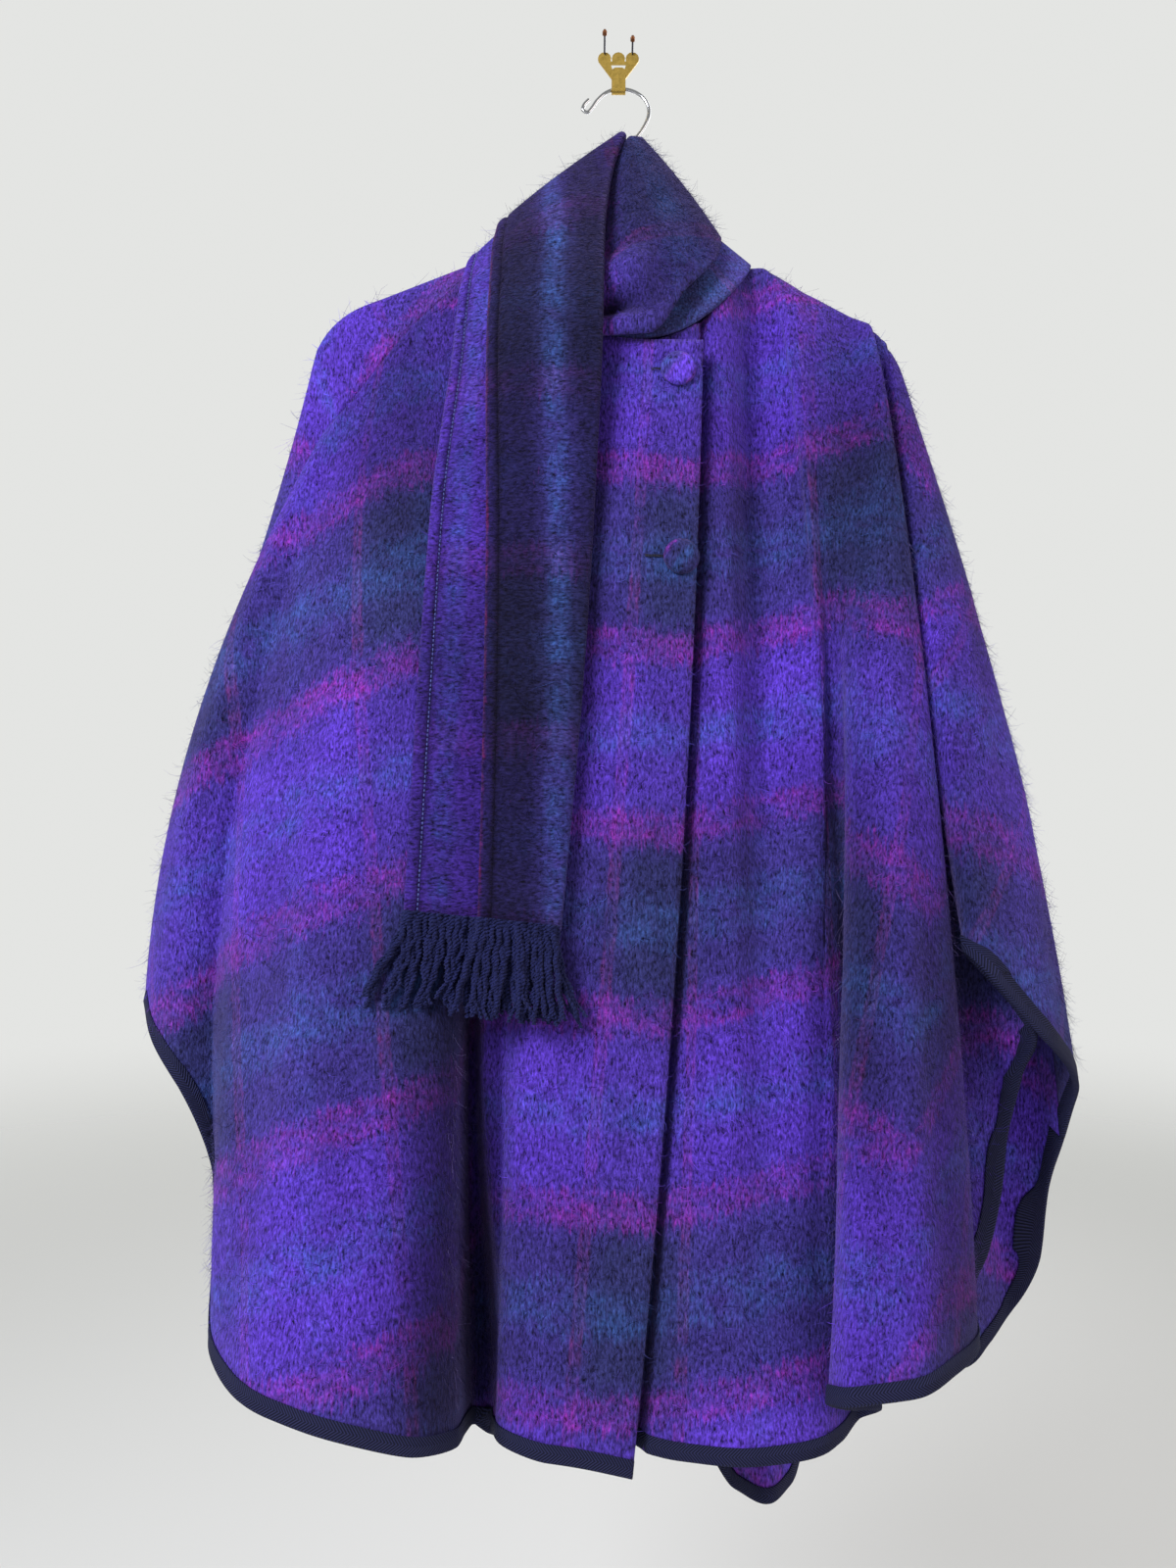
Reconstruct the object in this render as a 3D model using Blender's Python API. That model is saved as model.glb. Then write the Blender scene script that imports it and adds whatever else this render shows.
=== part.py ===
"""A mohair cape with an attached scarf, hung by a hanger on a brass wall hook.

Frame: origin on the flat back of the wall hook, +Z up, +Y into the wall.
The garment hangs in front of the wall, towards -Y.
The tables below are in millimetres; every mesh is made in metres.
"""

from collections import namedtuple
from math import cos, pi, radians, sin

import bmesh
import bpy
import numpy as np
from mathutils import Vector

MM = 0.001

# Driving sizes, in millimetres
CLOTH = 2.4            # brushed mohair cloth
SEAM = 0.8             # each cloth edge is held back this far from its seam
ARM_SEAM = 1.1         # and at the arms, where the cloth folds sharply
BRAID_TALL = 13.0      # fold-over braid on the hems
BRAID_THICK = 0.9
BRAID_GAP = 0.35       # braid to cloth
BRAID_END = 2.2        # braid ends are held back this far from an arm seam
BRAID_SLANT = 0.45     # the braid is not drawn wider than this on a steep hem
STEEPEST = 0.2         # steepest hem, as the sine of its angle to the cloth's fall
SCARF_PLY = 5.0        # distance between the two layers of the folded scarf
BUTTON_WIDE = 26.0
BUTTON_DEEP = 8.0
WIRE = 2.9             # hanger hook
HOOK_Y = -4.6          # the hanger hangs in a plane that leaves the wall here
HOOK_Z = -22.9         # top of the hanger hook, at its wire's middle
LEAN = 0.125           # how far the hanger leans out, per unit of drop
SHOULDER_CLEAR = 7.0   # wrapped cloth hangs this far from the hanger's plane
FALL = 12.0            # by this far below the crown
HANGER_X = -4.0
HANGER_PEAK = -127.0   # top of the hanger's arms at the middle
HANGER_SLOPE = 0.49
HANGER_TILT = 0.036    # the hanger hangs a little lower on +X
HANGER_REACH = 204.0   # half the hanger's length
HANGER_ROUND = 8.0     # rounding of the peak between the arms
ARM_TALL = 10.0        # half the height of an arm at the middle
ARM_TAPER = 3.5        # and how much less at its end
ARM_THICK = 2.6        # half the thickness of an arm
ARM_DROOP = 7.0        # the tip of an arm turns down this far
ARM_TIP = 0.14         # share of the section that is left at the tip
BAR_STATIONS = 26
BAR_SIDES = 8
FRINGE_LONG = 62.0
BACKING_TALL = 3.0
BACKING_THICK = 2.2
STRAND_ROOT = 0.4      # a strand narrows to its yarn over this length
STRAND_NARROW = 0.62
STRAND_TAPER = 0.98    # and by this much with each step
STRAND_STEPS = 3
STRAND_WAVE = 0.35
UNDER_STRANDS = 34
OVER_STRANDS = 20
UNDER_SPREAD = 22.0    # how far the strands fan out
OVER_SPREAD = 6.0
UNDER_LIFT = 0.3       # how far they stand off the cape with each step
OVER_LIFT = 1.2

# A row of the neck and shoulder line: the cloth's edge, the crown that the cloth passes
# over where it wraps across the shoulder, how far it wraps (0 or 1), and how far the
# edges of front and back lie apart where both hang down from one line
Station = namedtuple("Station", "name x y z crown_x crown_y crown_z wrap apart")

NECK_LEFT = [
    Station("left edge", 22, -76, -246, 22, -76, -246, 0, 0),
    Station("left throat", 48, -72, -235, 48, -72, -235, 0, 0),
    Station("left neck", 79, -58, -208, 79, -58, -208, 0, 0),
    Station("before the arm", 95, -32, -183, 95.5, -32, -186, 1, 0),
    Station("over the arm", 102, -24, -173, 102, -27, -174, 1, 0),
]
NECK_RIGHT = [
    Station("right edge", 60, -84, -247, 60, -84, -247, 0, 0),
    Station("right placket", 22, -85, -247, 22, -85, -247, 0, 0),
    Station("right throat", -15, -81, -242, -15, -81, -242, 0, 0),
    Station("right neck front", -53, -67, -222, -53, -67, -222, 0, 0),
    Station("right neck", -85, -51, -196, -85, -51, -196, 0, 0),
]
NECK_BACK = [
    Station("back neck, +X", 78, -14, -168, 78, -14, -168, 0, 0),
    Station("back neck", 0, -12, -163, 0, -12, -163, 0, 0),
    Station("back neck, -X", -80, -14, -163, -80, -14, -163, 0, 0),
    Station("behind the arm", -97, -15.5, -161.5, -97, -15.6, -166, 1, 0),
    Station("over the arm", -106, -23, -163, -106.5, -19.5, -164, 1, 0),
]
# The seam of the shoulder on +X lies behind the hanger, and the front wraps over to it
SHOULDER_LEFT = [
    Station("neck", 108, -16, -184, 108, -24, -176.5, 1, 0),
    Station("inner", 140, -16, -206, 140, -26, -193.5, 1, 0),
    Station("middle", 172, -18, -224, 172, -28.5, -211, 1, 0),
    Station("outer", 197, -20, -243, 197, -30, -226.5, 1, 0),
    Station("tip", 206, -22, -250, 207.5, -30, -239, 1, 0.8),
    Station("arm", 214, -24, -268, 215, -27, -266, 0, 2.0),
]
# The seam of the shoulder on -X lies on the chest, and the back wraps over to it
SHOULDER_RIGHT = [
    Station("neck", -114, -32, -176, -114, -23, -169.5, 1, 0),
    Station("inner", -133, -37, -198, -140, -24.5, -180.5, 1, 0),
    Station("middle", -159, -41, -224, -172, -27, -194.5, 1, 0),
    Station("outer", -184, -43, -255, -203, -29.5, -209.5, 1, 0),
    Station("tip", -209, -42, -286, -225, -30, -236, 1, 0.6),
    Station("arm", -226, -35, -303, -240, -27, -305, 0, 2.0),
]

# A fold of a panel hangs from the place "at" along its top edge, counted in stations,
# to a point of the hem, and swells by its bow at half height
Fold = namedtuple("Fold", "name at x y z bow_x bow_y")

FRONT_RIGHT = [
    Fold("overlap edge", 0.0, 5, -178, -1029, 8, 0),
    Fold("placket", 1.0, -20, -181, -1022, 4, 0),
    Fold("centre", 2.0, -50, -181, -1017, 0, 0),
    Fold("valley, centre side", 2.7, -86, -158, -1013, -29, 0),
    Fold("valley", 3.15, -94, -122, -1027, -25, 0),
    Fold("valley, far side", 3.35, -103, -120, -1021, -22, 0),
    Fold("valley, flute side", 3.75, -108, -150, -1012, -16, 0),
    Fold("flute, centre side", 4.3, -110, -187, -1003, -10, 0),
    Fold("flute, rise", 4.8, -138, -219, -994, 0, -2),
    Fold("flute crest", 5.3, -182, -228, -980, 0, -4),
    Fold("flute, top", 5.9, -218, -220, -972, -4, -4),
    Fold("flute, outer side", 6.6, -247, -205, -965, -8, -4),
    Fold("flute edge", 7.9, -279, -156, -949, -30, 0),
    Fold("tuck", 8.5, -285, -116, -906, -34, 0),
    Fold("tuck floor", 8.9, -295, -95, -846, -32, 0),
    Fold("arm fold", 9.3, -316, -98, -792, -27, 0),
    Fold("wrist", 9.65, -340, -84, -760, -26, -6),
    Fold("arm seam", 10.0, -357, -52, -735, -28, 0),
]
FRONT_LEFT = [
    Fold("under edge", 0.0, -8, -164, -1012, 0, 0),
    Fold("placket", 1.0, 38, -172, -1020, 0, 0),
    Fold("centre", 2.0, 79, -178, -1021, 0, 0),
    Fold("centre, outer side", 4.0, 124, -174, -1018, 30, -2),
    Fold("pleat, inner side", 5.0, 146, -153, -1017, 24, -8),
    Fold("pleat, under", 5.6, 164, -131, -1011, 13, -11),
    Fold("pleat turn", 6.0, 176, -141, -1001, 6, -9),
    Fold("pleat, back of lip", 6.3, 149, -168, -988, 11, -4),
    Fold("flute lip", 6.6, 130, -190, -974, 12, 0),
    Fold("flute, centre side", 6.85, 146, -212, -966, 12, 0),
    Fold("flute crest", 7.1, 182, -216, -959, 10, -4),
    Fold("flute, outer side", 7.3, 214, -192, -954, 10, -12),
    Fold("flute edge", 7.5, 240, -152, -952, 13, -18),
    Fold("tuck", 7.65, 244, -114, -936, 8, 0),
    Fold("corner, low", 7.78, 262, -99, -908, 4, 0),
    Fold("corner", 7.92, 274, -91, -868, 4, 0),
    Fold("corner, high", 8.05, 281, -86, -824, 4, 0),
    Fold("inner turn", 8.2, 291, -86, -784, 2, 0),
    Fold("inner turn, front", 8.35, 297, -99, -757, 4, 0),
    Fold("return", 8.5, 282, -110, -733, 4, 0),
    Fold("outer turn", 8.65, 246, -117, -694, -3, 0),
    Fold("outer turn, front", 8.85, 239, -130, -687, -5, 0),
    Fold("arm fold", 9.08, 252, -143, -702, 0, -4),
    Fold("arm crest", 9.3, 292, -130, -746, 10, -6),
    Fold("wrist", 9.55, 325, -94, -777, 14, -8),
    Fold("wrist edge", 9.8, 339, -62, -805, 17, -6),
    Fold("arm seam", 10.0, 337, -42, -840, 21, 0),
]
BACK = [
    Fold("arm seam, +X", 0.0, 337, -42, -840, 21, 0),
    Fold("wrist, +X", 0.5, 331, -25, -884, 18, 4),
    Fold("arm flute, +X", 0.9, 327, -19, -938, 8, 0),
    Fold("hollow 1", 1.3, 307, -15, -980, 4, 0),
    Fold("rise 1", 1.7, 282, -36, -998, 0, 0),
    Fold("flute 1", 2.0, 262, -50, -1010, 0, 0),
    Fold("hollow 2", 2.4, 228, -18, -1028, 0, 0),
    Fold("flute 2", 3.0, 192, -40, -1036, 0, 0),
    Fold("hollow 3", 3.7, 150, -16, -1070, 0, 0),
    Fold("rise 3", 4.2, 129, -42, -1103, 0, 0),
    Fold("flute 3", 4.6, 109, -62, -1107, 0, 0),
    Fold("fall 3", 5.0, 88, -44, -1105, 0, 0),
    Fold("hollow 4", 5.8, 54, -14, -1072, 0, 0),
    Fold("flute 4", 6.5, 4, -48, -1068, 0, 0),
    Fold("hollow 5", 7.0, -46, -14, -1068, 0, 0),
    Fold("flute 5", 7.6, -97, -48, -1052, 0, 0),
    Fold("hollow 6", 8.6, -150, -14, -1044, 0, 0),
    Fold("rise 6", 10.0, -176, -30, -1032, 0, 0),
    Fold("flute 6", 11.1, -200, -44, -1016, 0, 0),
    Fold("hollow 7", 12.3, -250, -14, -972, -4, 0),
    Fold("flute 7", 13.3, -284, -34, -908, -12, 0),
    Fold("hollow 8", 14.3, -320, -14, -832, -20, 0),
    Fold("wrist, -X", 15.3, -348, -24, -776, -26, 4),
    Fold("arm seam, -X", 16.0, -357, -52, -735, -28, 0),
]

# Places down a panel, from its top edge (0) to its hem (1)
KNOTS = np.array([0.0, 0.07, 0.13, 1.0])
DOWN = np.array([0.0, 0.035, 0.07, 0.1, 0.13, 0.2, 0.3, 0.42, 0.54, 0.66, 0.78, 0.89, 0.98, 1.0])
STEPS = 2              # columns from one fold to the next

# A section of the collar's ring: its lower edge on the neckline and its upper edge
Ring = namedtuple("Ring", "name x y z top_x top_y top_z")

COLLAR = [
    Ring("throat", 18, -82, -244.2, 16, -62, -212),
    Ring("left throat", 49, -74, -233.3, 40, -57, -202),
    Ring("left front", 80, -59, -206.4, 62, -45, -178),
    Ring("left side", 101, -27, -171.5, 77, -25, -151),
    Ring("left back", 78, -14.6, -167.5, 58, -15, -146),
    Ring("back", 0, -12.5, -162.8, 0, -14, -140),
    Ring("right back", -82, -15.2, -162.2, -62, -16.5, -145),
    Ring("right side", -103, -26, -161.6, -78, -24, -145),
    Ring("right front", -84, -53, -195.2, -70, -42, -166),
    Ring("right throat", -52, -69, -221.0, -46, -54, -190),
    Ring("under the scarf", -15, -82, -241.2, -14, -62, -208),
]

# A section of the scarf where it crosses the throat, from its lower to its upper edge
Wrap = namedtuple("Wrap", "name x y z top_x top_y top_z swell")

SCARF_CROSS = [
    Wrap("nape", 2, -6, -136, 9, -6, -80, 0),
    Wrap("behind", 40, -7, -137, 13, -6, -69, 0),
    Wrap("side, back", 70, -13, -143, 17, -8, -66, 1),
    Wrap("side", 78, -26, -149.1, 18, -13, -66, 2),
    Wrap("side, front", 73, -53, -174, 14, -17, -67, 4),
    Wrap("throat, +X", 48, -77, -207, 9, -20, -68, 7),
    Wrap("throat", 20, -92, -245, 5, -23.5, -73, 8),
    Wrap("under the tail", -16, -93, -247, -10, -27, -100, 5),
    Wrap("tucked", -52, -80, -222, -34, -29, -124, 3),
    Wrap("tucked end", -74, -63, -200, -57, -31, -142, 2),
]

# A section of the hanging end of the scarf: its outer edge, its folded edge, and how much
# of its width the upper layer leaves bare
Tail = namedtuple("Tail", "name x y z fold_x fold_y fold_z bare swell")

SCARF_TAIL = [
    Tail("behind", -98, -9, -166, -16, -8, -112, 0.20, 0),
    Tail("ridge", -114, -22, -164.5, 4, -19, -69, 0.22, 3),
    Tail("over", -118, -38, -180, -6, -38, -100, 0.24, 6),
    Tail("fall", -121, -46, -197, -14, -73, -164, 0.27, 9),
    Tail("chest", -125, -60, -250, -16, -103, -250, 0.29, 9),
    Tail("breast", -138, -86, -367, -22, -107, -368, 0.37, 5),
    Tail("waist", -144, -119, -505, -31, -123, -505, 0.42, 2),
    Tail("end", -149, -155, -660, -46, -145, -671, 0.48, 2),
]

# A button lies on the right front, between folds of that panel and down its length
Button = namedtuple("Button", "name across down")

BUTTONS = [
    Button("button_top", 0.47, 0.0293),
    Button("button_lower", 0.30, 0.2077),
]

# The hanger's hook, from its turned tip to the arms, in the plane that the hanger hangs in
WIRE_ROUTE = [
    (-23.4, -31.6), (-27.0, -35.6), (-28.2, -40.0), (-24.6, -42.2), (-21.0, -38.6), (-17.0, -32.4),
    (-10.8, -26.4), (-3.6, -23.3), (3.6, -22.9), (11.4, -24.6), (18.4, -29.1), (22.8, -35.7),
    (23.8, -43.4), (21.5, -51.2), (17.6, -58.2), (12.0, -66.0), (6.6, -73.6), (2.0, -82.4),
    (-1.6, -93.0), (-3.4, -108.0), (-4.0, -126.3),
]

# Wall hook: a fan-shaped plate with three lobes, and a strip bent up into a J
PLATE_THICK = 1.2
PLATE_TOP = 3.0
LOBE_RADIUS = 5.3
LOBES_X = (-11.0, 0.0, 11.0)
NECK_WIDE = 10.8
NECK_Z = -13.0
WINDOW = [(-6.0, -1.6), (6.0, -1.6), (4.2, -7.0), (-4.2, -7.0)]
BEND_Z = -22.4
TONGUE_TOP = -8.0
TONGUE_ROUND = 4.0
LOBE_PAST = 0.38

# A pin stands in a lobe of the plate, driven in at a slant
Pin = namedtuple("Pin", "name x z length")

PINS = [
    Pin("pin_left", -11.0, 6.0, 15.0),
    Pin("pin_right", 11.0, 6.0, 10.5),
]
PIN_WIDE = 1.5
PIN_HEAD_WIDE = 3.6
PIN_HEAD_TALL = 4.2
PIN_SLANT = 38.0
REST_GAP = 0.3


def monotone(knots, values, places):
    """Cubic curve through values at knots that never overshoots, read at places."""
    step = np.diff(knots)
    rise = np.diff(values, axis=0) / step[:, None]
    slope = np.zeros_like(values)
    before, after = rise[:-1], rise[1:]
    same = before * after > 0
    safe = np.where(same, before + after, 1.0)
    slope[1:-1] = np.where(same, 2 * before * after / safe, 0.0)
    slope[0], slope[-1] = rise[0], rise[-1]
    cell = np.clip(np.searchsorted(knots, places, side="right") - 1, 0, len(step) - 1)
    size = step[cell][:, None]
    t = (places - knots[cell])[:, None] / size
    start, end = values[cell], values[cell + 1]
    bend = slope[cell] * size * t * (1 - t) ** 2 - slope[cell + 1] * size * t * t * (1 - t)
    return start + (end - start) * t * t * (3 - 2 * t) + bend


def along(rows, places):
    """Read the number columns of a table between its rows."""
    values = np.array([row[1:] for row in rows], dtype=float)
    return monotone(np.arange(len(rows), dtype=float), values, places)


def along_line(stretches, places):
    """Read the station rows of joined stretches; each one is smooth by itself, so that the
    two panels of a shoulder seam find the same line."""
    read = np.zeros((len(places), len(stretches[0][0]) - 1))
    start = 0.0
    for rows in stretches:
        end = start + len(rows) - 1
        inside = (places >= start) & (places <= end)
        read[inside] = along(rows, places[inside] - start)
        start = end
    return read


def unit(vectors):
    return vectors / np.maximum(np.linalg.norm(vectors, axis=-1, keepdims=True), 1e-9)


def normals(grid):
    """Surface directions of a grid of points, by rows down and columns across."""
    return unit(np.cross(np.gradient(grid, axis=1), np.gradient(grid, axis=0)))


class Panel:
    """A cut piece that hangs from its top edge in folds, before (-1) or behind (1) the hanger."""

    def __init__(self, folds, top, side, wraps):
        self.folds = folds
        self.top = top
        self.side = side
        self.wraps = wraps

    def points(self, across, down):
        """Points of the cloth's middle, for places across (in folds) and down (0 to 1)."""
        fold = along(self.folds, across)
        top = along_line(self.top, fold[:, 0])
        seam, crown = top[:, 0:3], top[:, 3:6]
        wrap = top[:, 6:7] * self.wraps
        hem = fold[:, 1:4]
        over = seam + KNOTS[1] * (hem - seam)
        past = seam + KNOTS[2] * (hem - seam)
        clear = crown - (0.0, 0.0, FALL)
        clear[:, 1] = lean_y(crown[:, 2]) + self.side * SHOULDER_CLEAR
        over = over + wrap * (crown - over)
        past = past + wrap * (clear - past)
        route = np.stack([seam, over, past, hem])
        flat = monotone(KNOTS, route.reshape(4, -1), down).reshape(len(down), -1, 3)
        swell = (4 * down * (1 - down))[:, None]
        flat[:, :, 0] += swell * fold[:, 4]
        flat[:, :, 1] += swell * fold[:, 5]
        flat[:, :, 1] += self.side * top[:, 7] * ((1 - down) ** 2)[:, None]
        return flat

    def columns(self):
        return np.linspace(0, len(self.folds) - 1, (len(self.folds) - 1) * STEPS + 1)


def hold_back(grid, top=0.0, first=0.0, last=0.0):
    """Move a grid's top row and its first and last columns back from their seams."""
    grid = grid.copy()
    for edge, beside, amount in ((grid[0], grid[1], top), (grid[:, 0], grid[:, 1], first),
                                 (grid[:, -1], grid[:, -2], last)):
        way = beside - edge
        far = np.linalg.norm(way, axis=-1, keepdims=True)
        edge += way * np.minimum(amount / np.maximum(far, 1e-9), 0.4)
    return grid


def material(name, colour, roughness, metallic=0.0):
    finish = bpy.data.materials.new(name)
    finish.use_nodes = True
    shader = finish.node_tree.nodes["Principled BSDF"]
    shader.inputs["Base Color"].default_value = (*colour, 1.0)
    shader.inputs["Roughness"].default_value = roughness
    shader.inputs["Metallic"].default_value = metallic
    return finish


def add_object(name, mesh, finish):
    piece = bpy.data.objects.new(name, mesh)
    bpy.context.collection.objects.link(piece)
    mesh.materials.append(finish)
    return piece


def add_points(name, points, faces, finish):
    """A mesh object from points in millimetres."""
    mesh = bpy.data.meshes.new(name)
    mesh.from_pydata([tuple(p) for p in np.asarray(points) * MM], [], faces)
    mesh.shade_smooth()
    return add_object(name, mesh, finish)


def grid_faces(rows, columns, closed=False, mirrored=()):
    """Triangles of a grid; in mirrored columns they are split along the other diagonal."""
    faces = []
    last = columns if closed else columns - 1
    for r in range(rows - 1):
        for c in range(last):
            n = (c + 1) % columns
            a, b, d, e = r * columns + c, r * columns + n, (r + 1) * columns + n, (r + 1) * columns + c
            faces += [(a, b, e), (b, d, e)] if c in mirrored else [(a, b, d), (a, d, e)]
    return faces


def add_wall(name, grid, thick, finish, closed=False):
    """A wall of even thickness on a grid of points, closed round a ring or open."""
    rows, columns = grid.shape[:2]
    piece = add_points(name, grid.reshape(-1, 3), grid_faces(rows, columns, closed), finish)
    wall = piece.modifiers.new("wall", "SOLIDIFY")
    wall.thickness = thick * MM
    wall.offset = 0.0
    wall.use_rim = True
    return piece


def even_hem(grid):
    """Move the row above the hem to the braid's upper edge, so that both share their folds."""
    grid = grid.copy()
    hem = grid[-1]
    up = unit(grid[-3] - hem)
    slant = np.linalg.norm(np.cross(unit(np.gradient(hem, axis=0)), up), axis=1, keepdims=True)
    grid[-2] = hem + up * BRAID_TALL / np.maximum(slant, BRAID_SLANT)
    return grid, slant


def make_braid(name, panel, grid, slant, ends, braid):
    """A braid folded over a panel's hem, its legs parallel to the two faces of the cloth."""
    upper, hem = grid[-2], grid[-1]
    columns = len(hem)
    out = np.array([v.normal for v in panel.data.vertices[-2 * columns:]]).reshape(2, columns, 3)
    down = unit(hem - upper) / np.maximum(slant, STEEPEST)
    near = CLOTH / 2 + BRAID_GAP
    far = near + BRAID_THICK
    low, lowest = hem + down * BRAID_GAP, hem + down * (BRAID_GAP + BRAID_THICK)
    section = np.stack([
        upper + out[0] * far, lowest + out[1] * far, lowest - out[1] * far, upper - out[0] * far,
        upper - out[0] * near, low - out[1] * near, low + out[1] * near, upper + out[0] * near,
    ])
    rings = hold_back(section, first=ends[0], last=ends[1]).transpose(1, 0, 2)
    shape = bmesh.new()
    verts = [shape.verts.new(p) for p in rings.reshape(-1, 3)]
    corners = len(section)
    faces = grid_faces(columns, corners, closed=True, mirrored=(2, 5, 6))
    for cap in (0, corners * (columns - 1)):
        faces += [[cap + k for k in quad] for quad in ((0, 1, 6, 7), (1, 2, 5, 6), (2, 3, 4, 5))]
    for face in faces:
        shape.faces.new([verts[k] for k in face])
    add_shape(name, shape, braid)


def make_panels(cloth, braid):
    """The three cut panels of the cape, and the braid on their hems."""
    behind = [row._replace(wrap=0) for row in reversed(SHOULDER_LEFT)]
    panels = {
        "front_right": Panel(FRONT_RIGHT, [NECK_RIGHT + SHOULDER_RIGHT[:1], SHOULDER_RIGHT], -1, wraps=False),
        "front_left": Panel(FRONT_LEFT, [NECK_LEFT + SHOULDER_LEFT[:1], SHOULDER_LEFT], -1, wraps=True),
        "back": Panel(BACK, [behind, behind[-1:] + NECK_BACK + SHOULDER_RIGHT[:1], SHOULDER_RIGHT], 1, wraps=True),
    }
    seams = {"front_right": (0, 1), "front_left": (0, 1), "back": (1, 1)}
    for name, panel in panels.items():
        grid, slant = even_hem(panel.points(panel.columns(), DOWN))
        first, last = seams[name]
        grid = hold_back(grid, SEAM, first * ARM_SEAM, last * ARM_SEAM)
        wall = add_wall(name, grid, CLOTH, cloth)
        make_braid("braid_" + name, wall, grid, slant, (first * BRAID_END, last * BRAID_END), braid)
    return panels


def flowing(values, places, closed=False):
    """Smooth curve through rows of values, round again to the first row where it is closed."""
    values = np.asarray(values, dtype=float)
    if not closed:
        values = np.concatenate([2 * values[:1] - values[1:2], values, 2 * values[-1:] - values[-2:-1]])
        places = np.minimum(places + 1.0, len(values) - 2 - 1e-9)
    cell = places.astype(int)
    t = (places - cell)[:, None]
    before, start, end, after = (values[(cell + k) % len(values)] for k in (-1, 0, 1, 2))
    bend = (end - before) / 2 * t * (1 - t) ** 2 - (after - start) / 2 * t * t * (1 - t)
    return start + (end - start) * t * t * (3 - 2 * t) + bend


def make_collar(cloth):
    """A stand collar: a ring on the neckline that leans in."""
    places = np.linspace(0, len(COLLAR), 2 * len(COLLAR), endpoint=False)
    ring = flowing([row[1:] for row in COLLAR], places, closed=True)
    lower, upper = ring[:, 0:3], ring[:, 3:6]
    share = np.linspace(1, 0, 4)[:, None, None]
    add_wall("collar", lower + (upper - lower) * share, CLOTH, cloth, closed=True)


def make_scarf_cross(cloth):
    """The stretch of the scarf that goes round the neck and across the throat."""
    places = np.linspace(0, len(SCARF_CROSS) - 1, 2 * (len(SCARF_CROSS) - 1) + 1)
    wraps = along(SCARF_CROSS, places)
    share = np.linspace(1, 0, 7)[:, None, None]
    lower, upper = wraps[:, 0:3], wraps[:, 3:6]
    grid = lower + (upper - lower) * share
    swell = wraps[:, 6][:, None] * np.sin(pi * share)
    add_wall("scarf_cross", grid + normals(grid) * swell, CLOTH, cloth)


def tail_layers(places, shares):
    """The hanging scarf's lower layer, and the directions away from the cape."""
    rows = along(SCARF_TAIL, places)
    edge, fold = rows[:, None, 0:3], rows[:, None, 3:6]
    grid = edge + (fold - edge) * shares[None, :, None]
    out = -normals(grid)
    grid = grid + out * (rows[:, 7:8] * np.sin(pi * shares))[:, :, None]
    return grid, out, rows[:, 6]


def make_scarf_tail(cloth):
    """The hanging end of the scarf, folded lengthwise with its fold on +X."""
    places = np.linspace(0, len(SCARF_TAIL) - 1, 3 * (len(SCARF_TAIL) - 1) + 1)
    shares = np.linspace(0, 1, 6)
    under, out, bare = tail_layers(places, shares)
    side = unit(under[:, -1] - under[:, -2])
    turn = under[:, -1] + out[:, -1] * SCARF_PLY / 2 + side * SCARF_PLY / 2
    over = []
    for back_share in np.linspace(0, 1, 5):
        share = 1 - back_share * (1 - bare)
        cell = np.clip((share * 5).astype(int), 0, 4)
        t = (share * 5 - cell)[:, None]
        row = np.arange(len(places))
        low = under[row, cell] * (1 - t) + under[row, cell + 1] * t
        high = out[row, cell] * (1 - t) + out[row, cell + 1] * t
        over.append(low + high * SCARF_PLY)
    grid = np.concatenate([under, turn[:, None], np.stack(over, axis=1)], axis=1)
    add_wall("scarf_tail", grid, CLOTH, cloth)
    return under[-1], np.stack(over, axis=1)[-1], unit(under[-1] - under[-2]), out[-1]


def make_fringe(name, edge, drop, out, count, spread, lift, yarn):
    """A row of yarn strands whose roots are fused into a narrow strip below the scarf's end."""
    ends = np.linspace(0, len(edge) - 1, count + 1)
    index = np.arange(len(edge), dtype=float)
    line = monotone(index, edge, ends)
    drop = unit(monotone(index, drop, ends))
    out = unit(monotone(index, out, ends))
    half = out * BACKING_THICK / 2
    head = line + drop * REST_GAP
    foot = head + drop * BACKING_TALL
    rings = np.stack([head + half, head - half, foot - half, foot + half], axis=1)
    shape = bmesh.new()
    loops = [[shape.verts.new(p) for p in ring] for ring in rings]
    shape.faces.new(loops[0])
    shape.faces.new(loops[-1][::-1])
    roots = []
    for near, far in zip(loops, loops[1:]):
        for k in range(4):
            n = (k + 1) % 4
            face = shape.faces.new((near[k], far[k], far[n], near[n]))
            if k == 2:
                roots.append(face)
    for i, root in enumerate(roots):
        grow_strand(shape, root, i, count, drop[i], out[i], unit(line[i + 1] - line[i]), spread, lift)
    add_shape(name, shape, yarn)


def grow_strand(shape, root, i, count, drop, out, side, spread, lift):
    """Draw one strand out of a root face, in steps that lean, wave and narrow."""
    centre = i / (count - 1) - 0.5
    long = FRINGE_LONG * (0.94 + 0.06 * sin(2.3 * i) + 0.05 * sin(5.1 * i + 1))
    face = root
    for step in range(STRAND_STEPS + 1):
        grown = bmesh.ops.extrude_face_region(shape, geom=[face])
        bmesh.ops.delete(shape, geom=[face], context="FACES_ONLY")
        verts = [g for g in grown["geom"] if isinstance(g, bmesh.types.BMVert)]
        face = [g for g in grown["geom"] if isinstance(g, bmesh.types.BMFace)][0]
        middle = sum((v.co for v in verts), Vector()) / 4
        if step == 0:
            move = Vector(drop) * STRAND_ROOT
            narrow = STRAND_NARROW
        else:
            wave = STRAND_WAVE * sin(1.7 * step + 0.6 * i)
            lean = spread * centre / STRAND_STEPS
            fall = Vector(drop) * (long / STRAND_STEPS)
            move = fall + Vector(side) * (lean + wave) + Vector(out) * lift
            narrow = STRAND_TAPER
        for v in verts:
            v.co = middle + (v.co - middle) * narrow + move


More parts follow.
